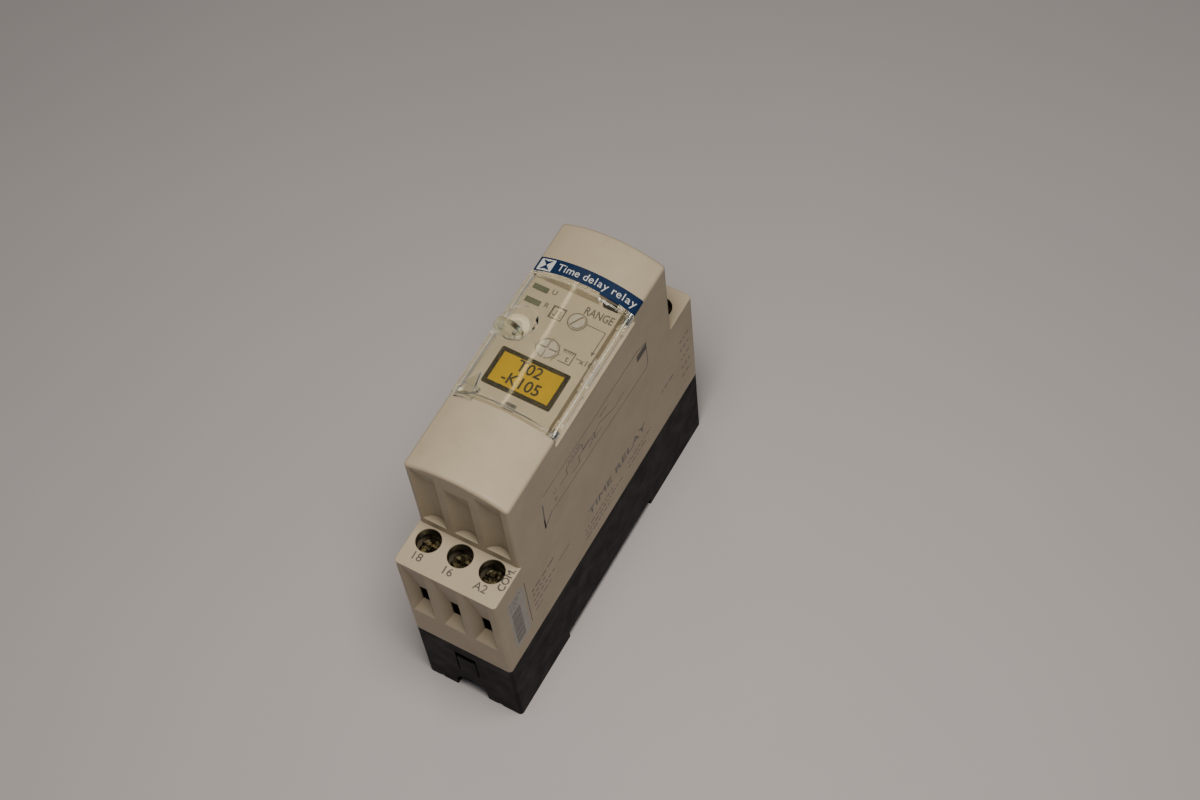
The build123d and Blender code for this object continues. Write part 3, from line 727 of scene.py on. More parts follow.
@dataclass(frozen=True)
class SmallLine:
    """A line of small print: the left end of its middle line, its size, and which dashes it has."""

    start: Point2
    length: float
    height: float
    seed: int

    def moved(self, rows: int, step: float) -> "SmallLine":
        """Return the line that lies some rows further down."""
        return replace(self, start=(self.start[0], self.start[1] - step * rows), seed=self.seed + rows)


@dataclass
class PrintSheet:
    """Printed marks on one face, gathered as thin raised solids in flat (u, v) millimetres."""

    mapper: Mapper
    sunk: float = 0.01
    proud: float = 0.02
    bm: bmesh.types.BMesh = field(default_factory=bmesh.new)

    def slab(self, centre: Point2, size: Point2, angle: float = 0.0) -> None:
        """Add a rectangle of ink.

        Args:
            centre: Its middle.
            size: Its length and width.
            angle: The turn of its length from the u direction.
        """
        place = Matrix.Translation((*centre, (self.proud - self.sunk) / 2))
        place @= Matrix.Rotation(angle, 4, "Z")
        place @= Matrix.Diagonal((*size, self.proud + self.sunk, 1.0))
        bmesh.ops.create_cube(self.bm, size=1.0, matrix=place)

    def stroke(self, points: Sequence[Point2], width: float) -> None:
        """Add a line through points.

        Args:
            points: Its corners, in order.
            width: Its width.
        """
        for (u0, v0), (u1, v1) in zip(points, points[1:]):
            length = math.hypot(u1 - u0, v1 - v0) + width * OVERRUN
            self.slab(((u0 + u1) / 2, (v0 + v1) / 2), (length, width), math.atan2(v1 - v0, u1 - u0))

    def ring(self, centre: Point2, radius: float, width: float, arc: float = 2 * math.pi,
             start: float = 0.0) -> None:
        """Add a ring, or a part of one, by spinning a small section about its centre.

        Args:
            centre: Its centre.
            radius: The radius of its middle line.
            width: The width of its line.
            arc: How far round it goes, in radians.
            start: Where it starts, in radians.
        """
        made = bmesh.ops.create_cube(self.bm, size=1.0)["verts"]
        section = [v for v in made if v.co.y < 0]
        bmesh.ops.delete(self.bm, geom=[v for v in made if v.co.y > 0], context="VERTS")
        place = Matrix.Translation((*centre, 0)) @ Matrix.Rotation(start, 4, "Z")
        for vert in section:
            flat = Vector((radius + vert.co.x * width, 0.0,
                           (self.proud - self.sunk) / 2 + vert.co.z * (self.proud + self.sunk)))
            vert.co = place @ flat
        whole = abs(arc - 2 * math.pi) < 1e-6
        faces = {f for v in section for f in v.link_faces}
        edges = {e for v in section for e in v.link_edges}
        if whole:
            bmesh.ops.delete(self.bm, geom=list(faces), context="FACES_ONLY")
        bmesh.ops.spin(
            self.bm,
            geom=section + [e for e in edges if e.is_valid],
            cent=(*centre, 0.0),
            axis=(0.0, 0.0, 1.0),
            angle=arc,
            steps=round(arc * RING_FACETS),
            use_merge=whole,
        )

    def text(self, words: str, centre: Point2, height: float, turn: Turn = Turn.ALONG,
             stretch: float = 1.0, weight: float = 0.0, base_line: bool = False,
             twice: float = 0.0) -> None:
        """Add lettering centred on a point.

        Args:
            words: What it says.
            centre: The middle of the line.
            height: The height of a capital.
            turn: Which way the line runs.
            stretch: How wide the letters are against their usual width.
            weight: How far the outline is grown, in millimetres.
            base_line: Whether the point lies on the letters' foot line.
            twice: How far a second strike is shifted to thicken the strokes, in millimetres.
        """
        curve = bpy.data.curves.new("lettering", "FONT")
        curve.body = words
        curve.size = height / CAPITAL
        curve.align_x = "CENTER"
        curve.align_y = "BOTTOM_BASELINE" if base_line else "CENTER"
        curve.extrude = (self.proud + self.sunk) / 2
        curve.offset = weight
        curve.resolution_u = 3
        holder = bpy.data.objects.new("lettering", curve)
        bpy.context.scene.collection.objects.link(holder)
        shape = bpy.data.meshes.new_from_object(holder)
        place = Matrix.Translation((*centre, (self.proud - self.sunk) / 2))
        place @= Matrix.Rotation(turn.value, 4, "Z") @ Matrix.Diagonal((stretch, 1, 1, 1))
        shape.transform(place)
        self.bm.from_mesh(shape)
        if twice:
            shape.transform(Matrix.Translation((twice, twice, twice * 0.05)))
            self.bm.from_mesh(shape)
        bpy.data.objects.remove(holder)
        bpy.data.curves.remove(curve)
        bpy.data.meshes.remove(shape)

    def small_print(self, line: SmallLine) -> None:
        """Add a line of unreadable small print as a row of short dashes.

        Args:
            line: The line.
        """
        reach = 0.0
        while reach < line.length:
            chance = abs(noise.noise((line.seed * 7.3, reach * 1.9, 0.5)))
            dash = min(line.height * (DASH_LEAST + DASH_SPREAD * chance), line.length - reach)
            place = (line.start[0] + reach + dash / 2, line.start[1])
            self.slab(place, (dash, line.height * DASH_HEIGHT))
            reach += dash + line.height * DASH_GAP

    def finish(self, name: str, material: bpy.types.Material, slot: str,
               body: Body = Body.ROOT) -> bpy.types.Object:
        """Bend the marks onto their face and make them a piece.

        Args:
            name: The piece's name.
            material: Its ink.
            slot: The material slot that it belongs to; not used.
            body: The moving group it rides on.

        Returns:
            The new piece.
        """
        for vert in self.bm.verts:
            vert.co = self.mapper(*vert.co)
        return make_piece(name, self.bm, material, body)


# --------------------------------------------------------------------------- sub-assemblies
@dataclass(frozen=True)
class Box:
    """A node's box in millimetres."""

    low: Vector
    high: Vector

    @classmethod
    def of(cls, node: str) -> "Box":
        """Read a node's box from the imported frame."""
        return cls(*(Vector(corner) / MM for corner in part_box(node)))

    @property
    def middle(self) -> Vector:
        """Return the point midway between its corners."""
        return (self.low + self.high) / 2


@dataclass(frozen=True)
class Sizes:
    """Places in millimetres that several sub-assemblies share."""

    panel_top: float
    side: float
    strip: Box
    label: Box
    side_label: Box
    shoulder: float = 52.2
    crown_side: float = 75.2
    cover_side: float = 75.6
    cover_rise: float = 3.3

    @classmethod
    def read(cls) -> "Sizes":
        """Read the sizes from the nodes' boxes.

        Returns:
            The sizes.
        """
        return cls(
            panel_top=Box.of("front_panel").high.z,
            side=Box.of("front_housing").high.x,
            strip=Box.of("name_strip"),
            label=Box.of("marker_label"),
            side_label=Box.of("side_label"),
        )


@dataclass
class Casing:
    """The white housing, black base, name strip and everything printed on them."""

    sizes: Sizes
    nodes: dict[str, bpy.types.Object]
    # The housing's cream paints shade into its recesses and, by position, into the screw wells.
    cream: MouldedPlastic = MouldedPlastic(
        "housing_cream", (0.46, 0.38, 0.268), 0.52, recess_shade=0.9,
        wells=WellRows(pitch=7.1, middle=-0.35, centre=0.7, reach=33.0, radius=2.68, top=51.9))
    black: MouldedPlastic = MouldedPlastic(
        "base_black", (0.0032, 0.0031, 0.0034), 0.55, mottle=0.2, grime=0.1, edge_wear_and_highlight_gain=3.0, specular=0.1)
    clip: MouldedPlastic = MouldedPlastic(
        "clip_black", (0.012, 0.012, 0.012), 0.42, grain_depth_mm=0.006, edge_wear_and_highlight_gain=2.2)
    navy: MouldedPlastic = MouldedPlastic(
        "strip_navy", (0.006, 0.022, 0.07), 0.35, grain_depth_mm=0.003, mottle=0.1, edge_mm=0.0)
    silver: MouldedPlastic = MouldedPlastic(
        "label_silver", (0.33, 0.315, 0.28), 0.34, grain_mm=0.6, grain_depth_mm=0.003, edge_mm=0.0)
    dark_ink: Ink = Ink("ink_dark", (0.05, 0.045, 0.042), (0.2, 0.17, 0.14))
    grey_ink: Ink = Ink("ink_grey", (0.11, 0.098, 0.105), (0.3, 0.265, 0.235), unevenness=0.65)
    white_ink: Ink = Ink("ink_white", (0.66, 0.66, 0.64), (0.45, 0.47, 0.5), 0.4, 0.3)
    number_height: float = 1.75
    numbers: tuple[tuple[str, Point2], ...] = (
        ("18", (-7.75, -36.25)), ("16", (-0.95, -36.25)), ("A2", (6.45, -36.25)),
        ("15", (-7.45, 37.55)), ("A1", (-0.35, 37.55)),
    )
    common_place: Point2 = (10.05, -32.6)
    wording: str = "Time delay relay"
    wording_start: float = -6.3
    wording_height: float = 1.65
    sign_middle: float = -8.95
    sign_square: float = 2.7
    sign_slices: int = 8
    sign_slice: float = 0.4
    sign_rows: int = 9
    sign_row: float = 0.12
    sign_waist: float = 0.24
    sign_flare: float = 0.23
    line: float = 0.24
    diagram_low: Point2 = (-18.6, 52.9)
    diagram_high: Point2 = (20.8, 62.6)
    wave: tuple[Point2, ...] = (
        (-13.0, 58.8), (-10.4, 58.8), (-10.4, 60.9), (-4.4, 60.9), (-4.4, 58.8), (-2.0, 58.8))
    wave_shift: Point2 = (4.4, -2.4)
    ramp: tuple[Point2, ...] = ((-2.2, 56.2), (2.0, 58.9), (7.4, 56.2), (11.5, 56.2))
    small_lines: tuple[SmallLine, ...] = (
        SmallLine((-9.6, 62.0), 4.6, 0.6, 3), SmallLine((2.4, 60.6), 3.2, 0.6, 5),
        SmallLine((-7.8, 29.6), 12.0, 0.7, 0), SmallLine((-7.8, 27.9), 15.5, 0.7, 1),
        SmallLine((9.8, 29.4), 9.6, 0.7, 2), SmallLine((9.8, 27.6), 7.2, 0.7, 3),
        SmallLine((-7.8, 26.1), 10.0, 0.7, 4), SmallLine((24.6, 35.4), 5.4, 0.9, 9),
    )
    upper_marks: SmallLine = SmallLine((33.0, 42.6), 3.6, 0.8, 11)
    upper_mark_step: float = 3.4
    lower_marks: SmallLine = SmallLine((-27.6, 38.6), 8.6, 1.0, 21)
    lower_mark_step: float = 2.1
    lower_mark_lengths: tuple[float, ...] = (8.6, 5.0, 8.0, 6.4, 3.0)
    bar_length: float = 3.0
    bar_least: float = 0.16
    bar_spread: float = 0.68
    bar_gap: float = 0.26
    bars_foot: float = 1.4
    bars_head: float = 5.6

    def dress(self) -> None:
        """Give the casing's CAD nodes their finishes."""
        for node, finish in (
            ("front_housing", self.cream), ("rear_base", self.black), ("din_clip", self.clip),
            ("name_strip", self.navy), ("side_label", self.silver),
        ):
            set_finish(self.nodes[node], finish.make())

    def print_shoulders(self) -> None:
        """Print the terminal numbers beside the screw holes of both ends."""
        sheet = PrintSheet(flat_face(self.sizes.shoulder))
        for words, place in self.numbers:
            sheet.text(words, place, self.number_height, weight=0.02)
        sheet.text("COM.", self.common_place, 1.5, Turn.UPRIGHT, 0.95, twice=0.1)
        sheet.finish("terminal_numbers", self.dark_ink.make(), "housing_plastic")

    def print_strip(self) -> None:
        """Print plain white wording and a white square for the sign on the navy strip."""
        sheet = PrintSheet(self.strip_crown().face(), proud=0.03)
        middle = self.sizes.strip.middle.y
        reach = self.wording_start
        foot = middle - 0.65
        for letter in self.wording:
            advance = LETTER_WIDTHS.get(letter, LETTER_WIDTH)
            if letter != " ":
                sheet.text(letter, (reach + advance / 2, foot), self.wording_height, base_line=True)
            reach += advance
        for step in range(self.sign_slices):
            across = self.sign_middle + (step - (self.sign_slices - 1) / 2) * self.sign_slice
            sheet.slab((across, middle), (self.sign_slice + 0.01, self.sign_square))
        sheet.finish("strip_wording", self.white_ink.make(), "strip_print")

    def print_sign(self) -> None:
        """Print a navy hourglass on the strip's white square, row by row from its waist."""
        sign = PrintSheet(self.strip_crown().face(), sunk=0.0, proud=0.05)
        middle = self.sizes.strip.middle.y
        for side in (-1, 1):
            for row in range(self.sign_rows):
                place = (self.sign_middle, middle + side * (row + 0.5) * self.sign_row)
                sign.slab(place, (self.sign_waist + self.sign_flare * row, self.sign_row))
        sign.finish("strip_sign", self.navy.make(), "strip_print")

    def strip_crown(self) -> Crown:
        """Return the bow of the name strip's face."""
        side = self.sizes.crown_side
        return Crown(self.sizes.side, side, self.sizes.strip.high.z - side)

    def print_side(self) -> None:
        """Print a generic timing diagram, wording and small print on the right side, and paint shade into
        its rectangular recess.
        """
        sheet = PrintSheet(side_face(self.sizes.side))
        self.draw_frame(sheet)
        sheet.stroke(self.wave, self.line)
        du, dv = self.wave_shift
        sheet.stroke([(u + du, v + dv) for u, v in self.wave], self.line)
        sheet.stroke(self.ramp, self.line)
        for words, place in (("t", (-1.0, 57.6)), ("U", (-15.0, 59.4)), ("R", (-15.0, 56.6))):
            sheet.text(words, place, 1.2)
        sheet.text("TIME RELAY", (5.8, 33.6), 2.3, stretch=1.35, twice=0.1)
        sheet.stroke([(-29.3, 46.0), (-29.3, 28.6)], self.line)
        sheet.stroke([(-17.6, 34.6), (-13.6, 34.6)], self.line)
        for small in self.small_lines:
            sheet.small_print(small)
        for row in range(5):
            sheet.small_print(self.upper_marks.moved(row, self.upper_mark_step))
        for row, length in enumerate(self.lower_mark_lengths):
            moved = self.lower_marks.moved(row, self.lower_mark_step)
            sheet.small_print(replace(moved, length=length, height=moved.height - 0.1 * row))
        sheet.finish("side_marks", self.grey_ink.make(), "housing_plastic")
        # Painted shade: a dark ink patch standing for the shaded rectangular recess on the side.
        window = PrintSheet(side_face(self.sizes.side))
        window.slab((18.9, 59.9), (3.5, 2.1))
        window.finish("side_recess_shade_mark", self.dark_ink.make(), "housing_plastic")

    def draw_frame(self, sheet: PrintSheet) -> None:
        """Draw the slanting frame round the timing diagram and the arrow at its lower end.

        Args:
            sheet: The right side's marks.
        """
        (near, bottom), (far, top) = self.diagram_low, self.diagram_high
        for points in (
            [(near, top + 1.1), (far - 3.5, top)],
            [(far - 3.5, top), (far, top - 1.5), (far, bottom), (far - 1.2, bottom - 0.5)],
            [(far - 1.2, bottom - 0.5), (near + 2.2, bottom + 1.6)],
        ):
            sheet.stroke(points, self.line)
        sheet.stroke([(near - 0.8, 61.0), (near - 1.05, 52.6), (near + 1.7, 54.8)], self.line * 1.6)
        sheet.stroke([(near - 1.05, 55.4), (near - 1.05, 52.4)], 0.4)

    def print_side_label(self) -> None:
        """Print bars and dashes on the silver film low on the side."""
        label = self.sizes.side_label
        sheet = PrintSheet(side_face(label.high.x))
        row = label.low.z + self.bars_foot
        step = 0
        while row < label.high.z - self.bars_head:
            width = self.bar_least + self.bar_spread * abs(noise.noise((step * 1.7, 0.3, 2.0)))
            sheet.slab((label.middle.y - 0.5, row), (self.bar_length, width))
            row += width + self.bar_gap
            step += 1
        for line in range(3):
            start = (label.low.y + 0.6, label.high.z - 1.2 - 1.2 * line)
            sheet.small_print(SmallLine(start, 3.8 - 0.7 * line, 0.6, 31 + line))
        sheet.finish("side_label_marks", self.grey_ink.make(), "silver_label")


@dataclass
class Front:
    """The panel under the cover with its adjusters, lights, legends and marker label."""

    sizes: Sizes
    nodes: dict[str, bpy.types.Object]
    cream: MouldedPlastic = MouldedPlastic("panel_cream", (0.47, 0.39, 0.275), 0.48, grain_depth_mm=0.006)
    knob: MouldedPlastic = MouldedPlastic(
        "adjuster_ivory", (0.50, 0.44, 0.36), 0.4, grain_depth_mm=0.004, edge_mm=0.1)
    lens: MouldedPlastic = MouldedPlastic(
        "lens_smoke", (0.11, 0.115, 0.075), 0.18,
        grain_mm=0.8, grain_depth_mm=0.004, mottle=0.25, edge_mm=0.08)
    legend: Ink = Ink("ink_legend", (0.07, 0.065, 0.055), (0.2, 0.17, 0.13), unevenness=0.6)
    black: Ink = Ink("ink_label", (0.012, 0.011, 0.01), (0.05, 0.04, 0.02), 0.4, 0.3)
    line: float = 0.22
    range_centre: Point2 = (2.1, 12.0)
    dial_centre: Point2 = (0.05, 4.2)
    dial_marks: int = 7
    code_height: float = 2.45

    def dress(self) -> None:
        """Give the front's CAD nodes their finishes."""
        label = self.sizes.label
        tape = LabelTape("label_tape", tuple(label.middle[:2]), tuple((label.high - label.low)[:2]))
        set_finish(self.nodes["front_panel"], self.cream.make())
        set_finish(self.nodes["marker_label"], tape.make())
        knob, lens = self.knob.make(), self.lens.make()
        for node in ("range_selector", "time_dial"):
            set_finish(self.nodes[node], knob)
        for node in ("led_lens_supply", "led_lens_output"):
            set_finish(self.nodes[node], lens)

    def print_legends(self) -> None:
        """Print the signs, scales and leader lines round the two adjusters."""
        sheet = PrintSheet(flat_face(self.sizes.panel_top))
        for words, place in (("U", (-4.9, 15.7)), ("R", (-4.9, 12.5))):
            sheet.text(words, place, 1.1, weight=0.03)
        self.mark_function(sheet)
        self.mark_range(sheet)
        self.mark_time(sheet)
        sheet.finish("panel_legends", self.legend.make(), "panel_plastic")
        patch = PrintSheet(flat_face(self.sizes.panel_top))
        patch.slab((0.0, -9.6), (2.4, 1.2))
        patch.finish("panel_grey_patch", self.legend.make(), "panel_plastic")

    def mark_function(self, sheet: PrintSheet) -> None:
        """Mark the boxed pulse that says what the timer does.

        Args:
            sheet: The panel's marks.
        """
        sheet.stroke([(-3.4, 10.6), (-3.4, 13.2), (-0.9, 13.2)], 0.34)
        sheet.stroke([(-3.4, 10.6), (-0.9, 10.6), (-0.9, 13.2)], self.line)
        low, high = 11.3, 12.4
        pulse = [(-2.9, low), (-2.4, low), (-2.4, high), (-1.7, high), (-1.7, low), (-1.3, low)]
        sheet.stroke(pulse, self.line)

    def mark_range(self, sheet: PrintSheet) -> None:
        """Mark the range selector's ring, its word and its leader with an arrowhead.

        Args:
            sheet: The panel's marks.
        """
        sheet.ring(self.range_centre, 1.85, 0.2)
        sheet.text("RANGE", (5.2, 14.9), 1.75, stretch=0.75, weight=0.05)
        sheet.stroke([(4.1, 12.3), (8.1, 12.2), (8.1, 7.4)], 0.18)
        for row in range(4):
            sheet.slab((8.1, 6.7 + self.line * row), (0.12 + 0.2 * row, self.line))

    def mark_time(self, sheet: PrintSheet) -> None:
        """Mark the time dial's arc and ticks, its boxed scale and its factor.

        Args:
            sheet: The panel's marks.
        """
        u, v = self.dial_centre
        sheet.ring(self.dial_centre, 2.3, 0.2, arc=1.5 * math.pi, start=-math.pi / 4)
        for tick in range(self.dial_marks):
            angle = math.radians(45 * (tick - 1))
            sheet.slab((u + 2.6 * math.cos(angle), v + 2.6 * math.sin(angle)), (0.35, 0.12), angle)
        sheet.stroke([(2.9, 5.7), (5.4, 5.7), (5.4, 3.0), (3.0, 3.0)], self.line)
        for step in range(5):
            sheet.slab((3.1 + 0.45 * step, 5.35), (0.18, 0.5))
        sheet.text("t", (4.4, 4.0), 1.3, weight=0.03)
        sheet.stroke([(5.9, 4.9), (6.7, 4.9)], 0.2)
        sheet.text("x10", (8.1, 4.7), 1.25, weight=0.03)

    def print_marker(self) -> None:
        """Print a generic location code on the marker label."""
        middle = self.sizes.label.middle
        sheet = PrintSheet(flat_face(self.sizes.label.high.z), proud=0.015)
        for words, rise in (("T02", 1.75), ("-K105", -1.6)):
            place = (middle.x - 0.2, middle.y + rise)
            sheet.text(words, place, self.code_height, stretch=0.95, weight=0.05)
        sheet.finish("marker_lettering", self.black.make(), "label_paper")


@dataclass
class Cover:
    """The clear cover with its finger grip, and the seal lug that stands through it."""

    sizes: Sizes
    nodes: dict[str, bpy.types.Object]
    clear: ClearMoulding = ClearMoulding("clear_moulding", (0.985, 0.985, 0.955))
    frosted: ClearMoulding = ClearMoulding("lug_moulding", (0.86, 0.93, 0.82), 1.42, 0.16)
    grip: ClearMoulding = ClearMoulding("grip_moulding", (0.96, 0.98, 0.94), 1.4)
    pin: PlatedMetal = PlatedMetal("pin_steel", (0.62, 0.62, 0.6), (0.4, 0.38, 0.35), 0.25, (1, 0.05, 1))
    # Painted shadow: a black block standing for the dark slot at the cover's far notch.
    notch_shadow: MouldedPlastic = MouldedPlastic("notch_shadow_black", (0.01, 0.01, 0.01), 0.45, edge_mm=0.08)
    grip_centre: Point2 = (-7.4, -11.45)
    grip_lift: float = 0.12
    grip_turn: float = 14.0
    lip_radii: tuple[float, float, float] = (2.5, 1.05, 0.42)
    wedge_offset: tuple[float, float, float] = (0.1, 2.2, 0.05)
    wedge_radii: Point2 = (2.7, 2.2)
    wedge_height: float = 0.3
    shadow_block_low: tuple[float, float, float] = (4.9, 17.0, 74.7)
    shadow_block_high: tuple[float, float, float] = (8.0, 17.6, 76.5)
    shadow_block_edge: float = 0.12

    def dress(self) -> None:
        """Give the cover, its seal lug and its pins their finishes."""
        set_finish(self.nodes["clear_cover"], self.clear.make())
        set_finish(self.nodes["seal_lug"], self.frosted.make())
        set_finish(self.nodes["cover_hinge_pins"], self.pin.make())

    def add_grip(self) -> None:
        """Add the flared lip and the wedge of the finger grip at the lower left corner."""
        crown = Crown(self.sizes.side, self.sizes.cover_side, self.sizes.cover_rise)
        across = self.grip_centre[0]
        height = crown.height(across) + self.grip_lift
        place = Matrix.Translation(Vector((*self.grip_centre, height)) * MM)
        place @= Matrix.Rotation(-crown.slope(across), 4, "Y")
        place @= Matrix.Rotation(math.radians(self.grip_turn), 4, "Z")
        moulding = self.grip.make()
        lip = bmesh.new()
        bmesh.ops.create_uvsphere(lip, u_segments=32, v_segments=16, radius=MM,
                                  matrix=place @ Matrix.Diagonal((*self.lip_radii, 1.0)))
        make_piece("grip_lip", lip, moulding, Body.COVER, smooth=True)
        apex = Matrix.Translation(Vector(self.wedge_offset) * MM) @ Matrix.Rotation(math.pi / 2, 4, "Z")
        under, over = (radius * MM for radius in self.wedge_radii)
        wedge = bmesh.new()
        bmesh.ops.create_cone(wedge, cap_ends=True, segments=3, radius1=under, radius2=over,
                              depth=self.wedge_height * MM,
                              matrix=place @ apex @ Matrix.Diagonal((1.0, 0.85, 1.0, 1.0)))
        make_piece("grip_wedge", wedge, moulding, Body.COVER)

    def add_notch_shadow(self) -> None:
        """Add a dark block: painted shadow for the slot under the cover's far notch."""
        low, high = Vector(self.shadow_block_low), Vector(self.shadow_block_high)
        place = Matrix.Translation((low + high) / 2 * MM) @ Matrix.Diagonal((*(high - low), 1.0))
        block = bmesh.new()
        bmesh.ops.create_cube(block, size=MM, matrix=place)
        bmesh.ops.bevel(block, geom=block.edges[:], offset=self.shadow_block_edge * MM, segments=2, profile=0.5,
                        affect="EDGES", material=-1)
        make_piece("notch_shadow_block", block, self.notch_shadow.make(), Body.ROOT)


@dataclass
class Terminals:
    """Screws, clamp cages and contact bars."""

    nodes: dict[str, bpy.types.Object]
    # Near-black tarnish over most of the head: partly tarnish, partly painted shade for the dark screw
    # wells.
    screw: PlatedMetal = PlatedMetal(
        "screw_zinc_tarnish_and_shade", (0.36, 0.3, 0.17), (0.025, 0.021, 0.014), 0.2,
        stain_from=0.35, stain_full=0.55, stain_most=0.95, relief=0.8)
    cage: PlatedMetal = PlatedMetal("cage_zinc", (0.5, 0.48, 0.44), (0.25, 0.2, 0.15), 0.35, (1, 1, 0.2))
    brass: PlatedMetal = PlatedMetal("contact_brass_strip", (0.72, 0.5, 0.2), (0.4, 0.25, 0.1), 0.32,
                                     (0.2, 1, 1))

    def dress(self) -> None:
        """Give all terminal pieces their finishes."""
        finishes = {"terminal_screw": self.screw.make(), "clamp_cage": self.cage.make(),
                    "contact_bar": self.brass.make()}
        for kind, material in finishes.items():
            for end in ENDS:
                for side in SIDES:
                    set_finish(self.nodes[f"{kind}_{end}_{side}"], material)


@dataclass
class ClipSpring:
    """The rail clip's return spring, which shortens as the clip is pulled out."""

    nodes: dict[str, bpy.types.Object]
    wire: PlatedMetal = PlatedMetal("spring_wire", (0.6, 0.6, 0.6), (0.4, 0.38, 0.35))
    clip_travel: float = 2.5
    end_clearance: float = 0.15

    def build(self) -> None:
        """Add a copy of the coil as a new piece and hide the rigid one."""
        coil = bmesh.new()
        coil.from_mesh(self.nodes["din_clip_spring"].data)
        piece = make_piece("clip_spring_coil", coil, self.wire.make(), Body.ROOT, smooth=True)
        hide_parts("din_clip_spring")
        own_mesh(piece)


@dataclass
class Electronics:
    """Boards, relay and components inside the casing."""

    nodes: dict[str, bpy.types.Object]

    @staticmethod
    def moulded(name: str, colour: Colour, roughness: float = 0.4) -> bpy.types.Material:
        """Make a component's smooth moulded finish."""
        return MouldedPlastic(name, colour, roughness, edge_mm=0.0, grain_depth_mm=0.005).make()

    def dress(self) -> None:
        """Give every inner node its finish."""
        moulded = self.moulded
        board = CircuitBoard("board_green", (0.012, 0.075, 0.03), (0.03, 0.14, 0.06)).make()
        iron = PlatedMetal("relay_iron", (0.5, 0.5, 0.49), (0.3, 0.28, 0.26), 0.35).make()
        contact = PlatedMetal("relay_contact", (0.8, 0.6, 0.4), (0.5, 0.35, 0.2), 0.25).make()
        body = moulded("component_black", (0.02, 0.02, 0.02))
        finishes = {
            "main_board": board, "front_board": board,
            "relay_core": iron, "relay_yoke": iron, "relay_armature": iron,
            "relay_moving_contact": contact, "relay_fixed_contacts": contact,
            "relay_base": body, "timer_chip": body, "bridge_rectifier": body,
            "board_pin_header": body, "range_switch_body": body,
            "time_potentiometer_body": moulded("potentiometer_blue", (0.03, 0.08, 0.25)),
            "relay_case": moulded("relay_blue", (0.02, 0.05, 0.2), 0.3),
            "relay_bobbin": moulded("bobbin_nylon", (0.6, 0.55, 0.4)),
            "relay_winding": WoundWire("winding_copper", (0.6, 0.2, 0.06)).make(),
            "storage_capacitors": moulded("capacitor_sleeve", (0.015, 0.015, 0.03), 0.25),
            "supply_capacitor": moulded("capacitor_yellow", (0.45, 0.3, 0.03), 0.35),
            "varistor": moulded("varistor_blue", (0.02, 0.06, 0.25), 0.45),
            "board_resistors": moulded("resistor_blue", (0.15, 0.3, 0.42)),
            "indicator_leds": moulded("led_epoxy", (0.35, 0.4, 0.15), 0.15),
        }
        for node, material in finishes.items():
            set_finish(self.nodes[node], material)


def set_finish(node: bpy.types.Object, material: bpy.types.Material) -> None:
    """Put one material in every slot of a CAD node.

    Args:
        node: The node.
        material: Its finish.
    """
    if not node.data.materials:
        node.data.materials.append(material)
    for index in range(len(node.data.materials)):
        node.data.materials[index] = material
    LOG.info("dressed %s in %s", node.name, material.name)


@dataclass(frozen=True)
class Lamp:
    """An area lamp, with its places and its width and length in metres."""

    name: str
    place: tuple[float, float, float]
    target: tuple[float, float, float]
    size: Point2
    watts: float
    colour: Colour

    def hang(self) -> None:
        """Hang it at its place, facing its target."""
        lamp = bpy.data.lights.new(self.name, "AREA")
        lamp.shape = "RECTANGLE"
        lamp.size, lamp.size_y = self.size
        lamp.energy = self.watts
        lamp.color = self.colour
        holder = bpy.data.objects.new(self.name, lamp)
        holder.location = self.place
        facing = Vector(self.target) - Vector(self.place)
        holder.rotation_euler = facing.to_track_quat("-Z", "Y").to_euler()
        bpy.context.scene.collection.objects.link(holder)


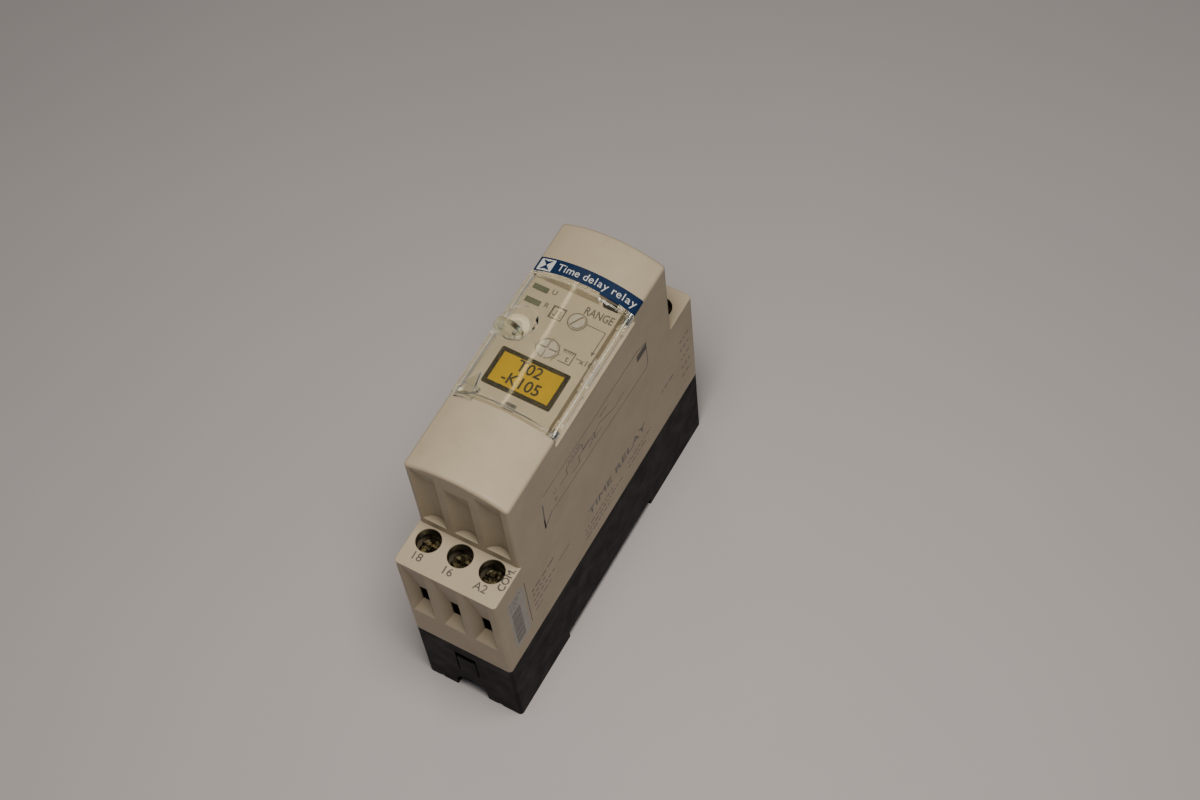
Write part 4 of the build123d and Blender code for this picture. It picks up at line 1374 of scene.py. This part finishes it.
@dataclass(frozen=True)
class Studio:
    """The pale floor, soft light and camera, with places in metres."""

    floor_colour: Colour = (0.59, 0.545, 0.55)
    floor_half: float = 2.5
    floor_drop: float = 0.0001
    room_colour: Colour = (0.74, 0.88, 1.0)
    room_strength: float = 0.085
    lamps: tuple[Lamp, ...] = (
        Lamp("ceiling_lamp", (0.055, -0.055, 0.345), (0.035, -0.02, 0.0), (0.12, 0.12), 0.95,
             (1.0, 0.94, 0.85)),
        Lamp("tube_lamp", (-0.36, 0.42, 0.95), (0.0, 0.0, 0.078), (0.045, 0.6), 0.3,
             (1.0, 0.86, 0.52)),
    )
    camera_place: tuple[float, float, float] = (0.142549, -0.174238, 0.449237)
    camera_right: tuple[float, float, float] = (0.868937, 0.489848, -0.070692)
    camera_up: tuple[float, float, float] = (-0.396118, 0.773965, 0.494033)
    lens_mm: float = 69.96
    sensor_mm: float = 36.0

    def lay_floor(self) -> None:
        """Lay a pale floor with faint unevenness."""
        bm = bmesh.new()
        bmesh.ops.create_grid(bm, x_segments=1, y_segments=1, size=self.floor_half,
                              matrix=Matrix.Translation((0, 0, -self.floor_drop)))
        mesh = bpy.data.meshes.new("floor")
        bm.to_mesh(mesh)
        bm.free()
        sheet = NodeSheet("floor_paper")
        cloud = sheet.patches(70.0, 2.0, 0.3, 0.7)
        base = sheet.mix(cloud, dim(self.floor_colour, 0.97), self.floor_colour)
        sheet.surface(Base_Color=base, Roughness=sheet.remap(cloud, 0, 1, 0.75, 0.85))
        mesh.materials.append(sheet.material)
        floor = bpy.data.objects.new("floor", mesh)
        bpy.context.scene.collection.objects.link(floor)

    def light(self) -> None:
        """Set the soft surroundings and the lamps."""
        world = bpy.data.worlds.new("soft_room")
        world.use_nodes = True
        background = world.node_tree.nodes["Background"]
        background.inputs["Color"].default_value = (*self.room_colour, 1.0)
        background.inputs["Strength"].default_value = self.room_strength
        bpy.context.scene.world = world
        for lamp in self.lamps:
            lamp.hang()

    def set_camera(self) -> None:
        """Place the camera."""
        data = bpy.data.cameras.new("camera")
        data.lens = self.lens_mm
        data.sensor_width = self.sensor_mm
        data.clip_start = 0.01
        camera = bpy.data.objects.new("camera", data)
        right, up = Vector(self.camera_right), Vector(self.camera_up)
        turned = Matrix((right, up, right.cross(up))).transposed()
        camera.matrix_world = Matrix.Translation(self.camera_place) @ turned.to_4x4()
        bpy.context.scene.collection.objects.link(camera)
        bpy.context.scene.camera = camera


def main() -> None:
    """Load the frame, dress it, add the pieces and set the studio."""
    logging.basicConfig(level=logging.INFO)
    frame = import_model()
    nodes = frame["nodes"]
    sizes = Sizes.read()
    studio = Studio()
    studio.set_camera()
    casing = Casing(sizes, nodes)
    casing.dress()
    casing.print_shoulders()
    casing.print_strip()
    casing.print_sign()
    casing.print_side()
    casing.print_side_label()
    front = Front(sizes, nodes)
    front.dress()
    front.print_legends()
    front.print_marker()
    cover = Cover(sizes, nodes)
    cover.dress()
    cover.add_grip()
    cover.add_notch_shadow()
    Terminals(nodes).dress()
    ClipSpring(nodes).build()
    Electronics(nodes).dress()
    studio.lay_floor()
    studio.light()
    bpy.context.view_layer.update()
    LOG.info("sizes written")


if __name__ == "__main__":
    main()
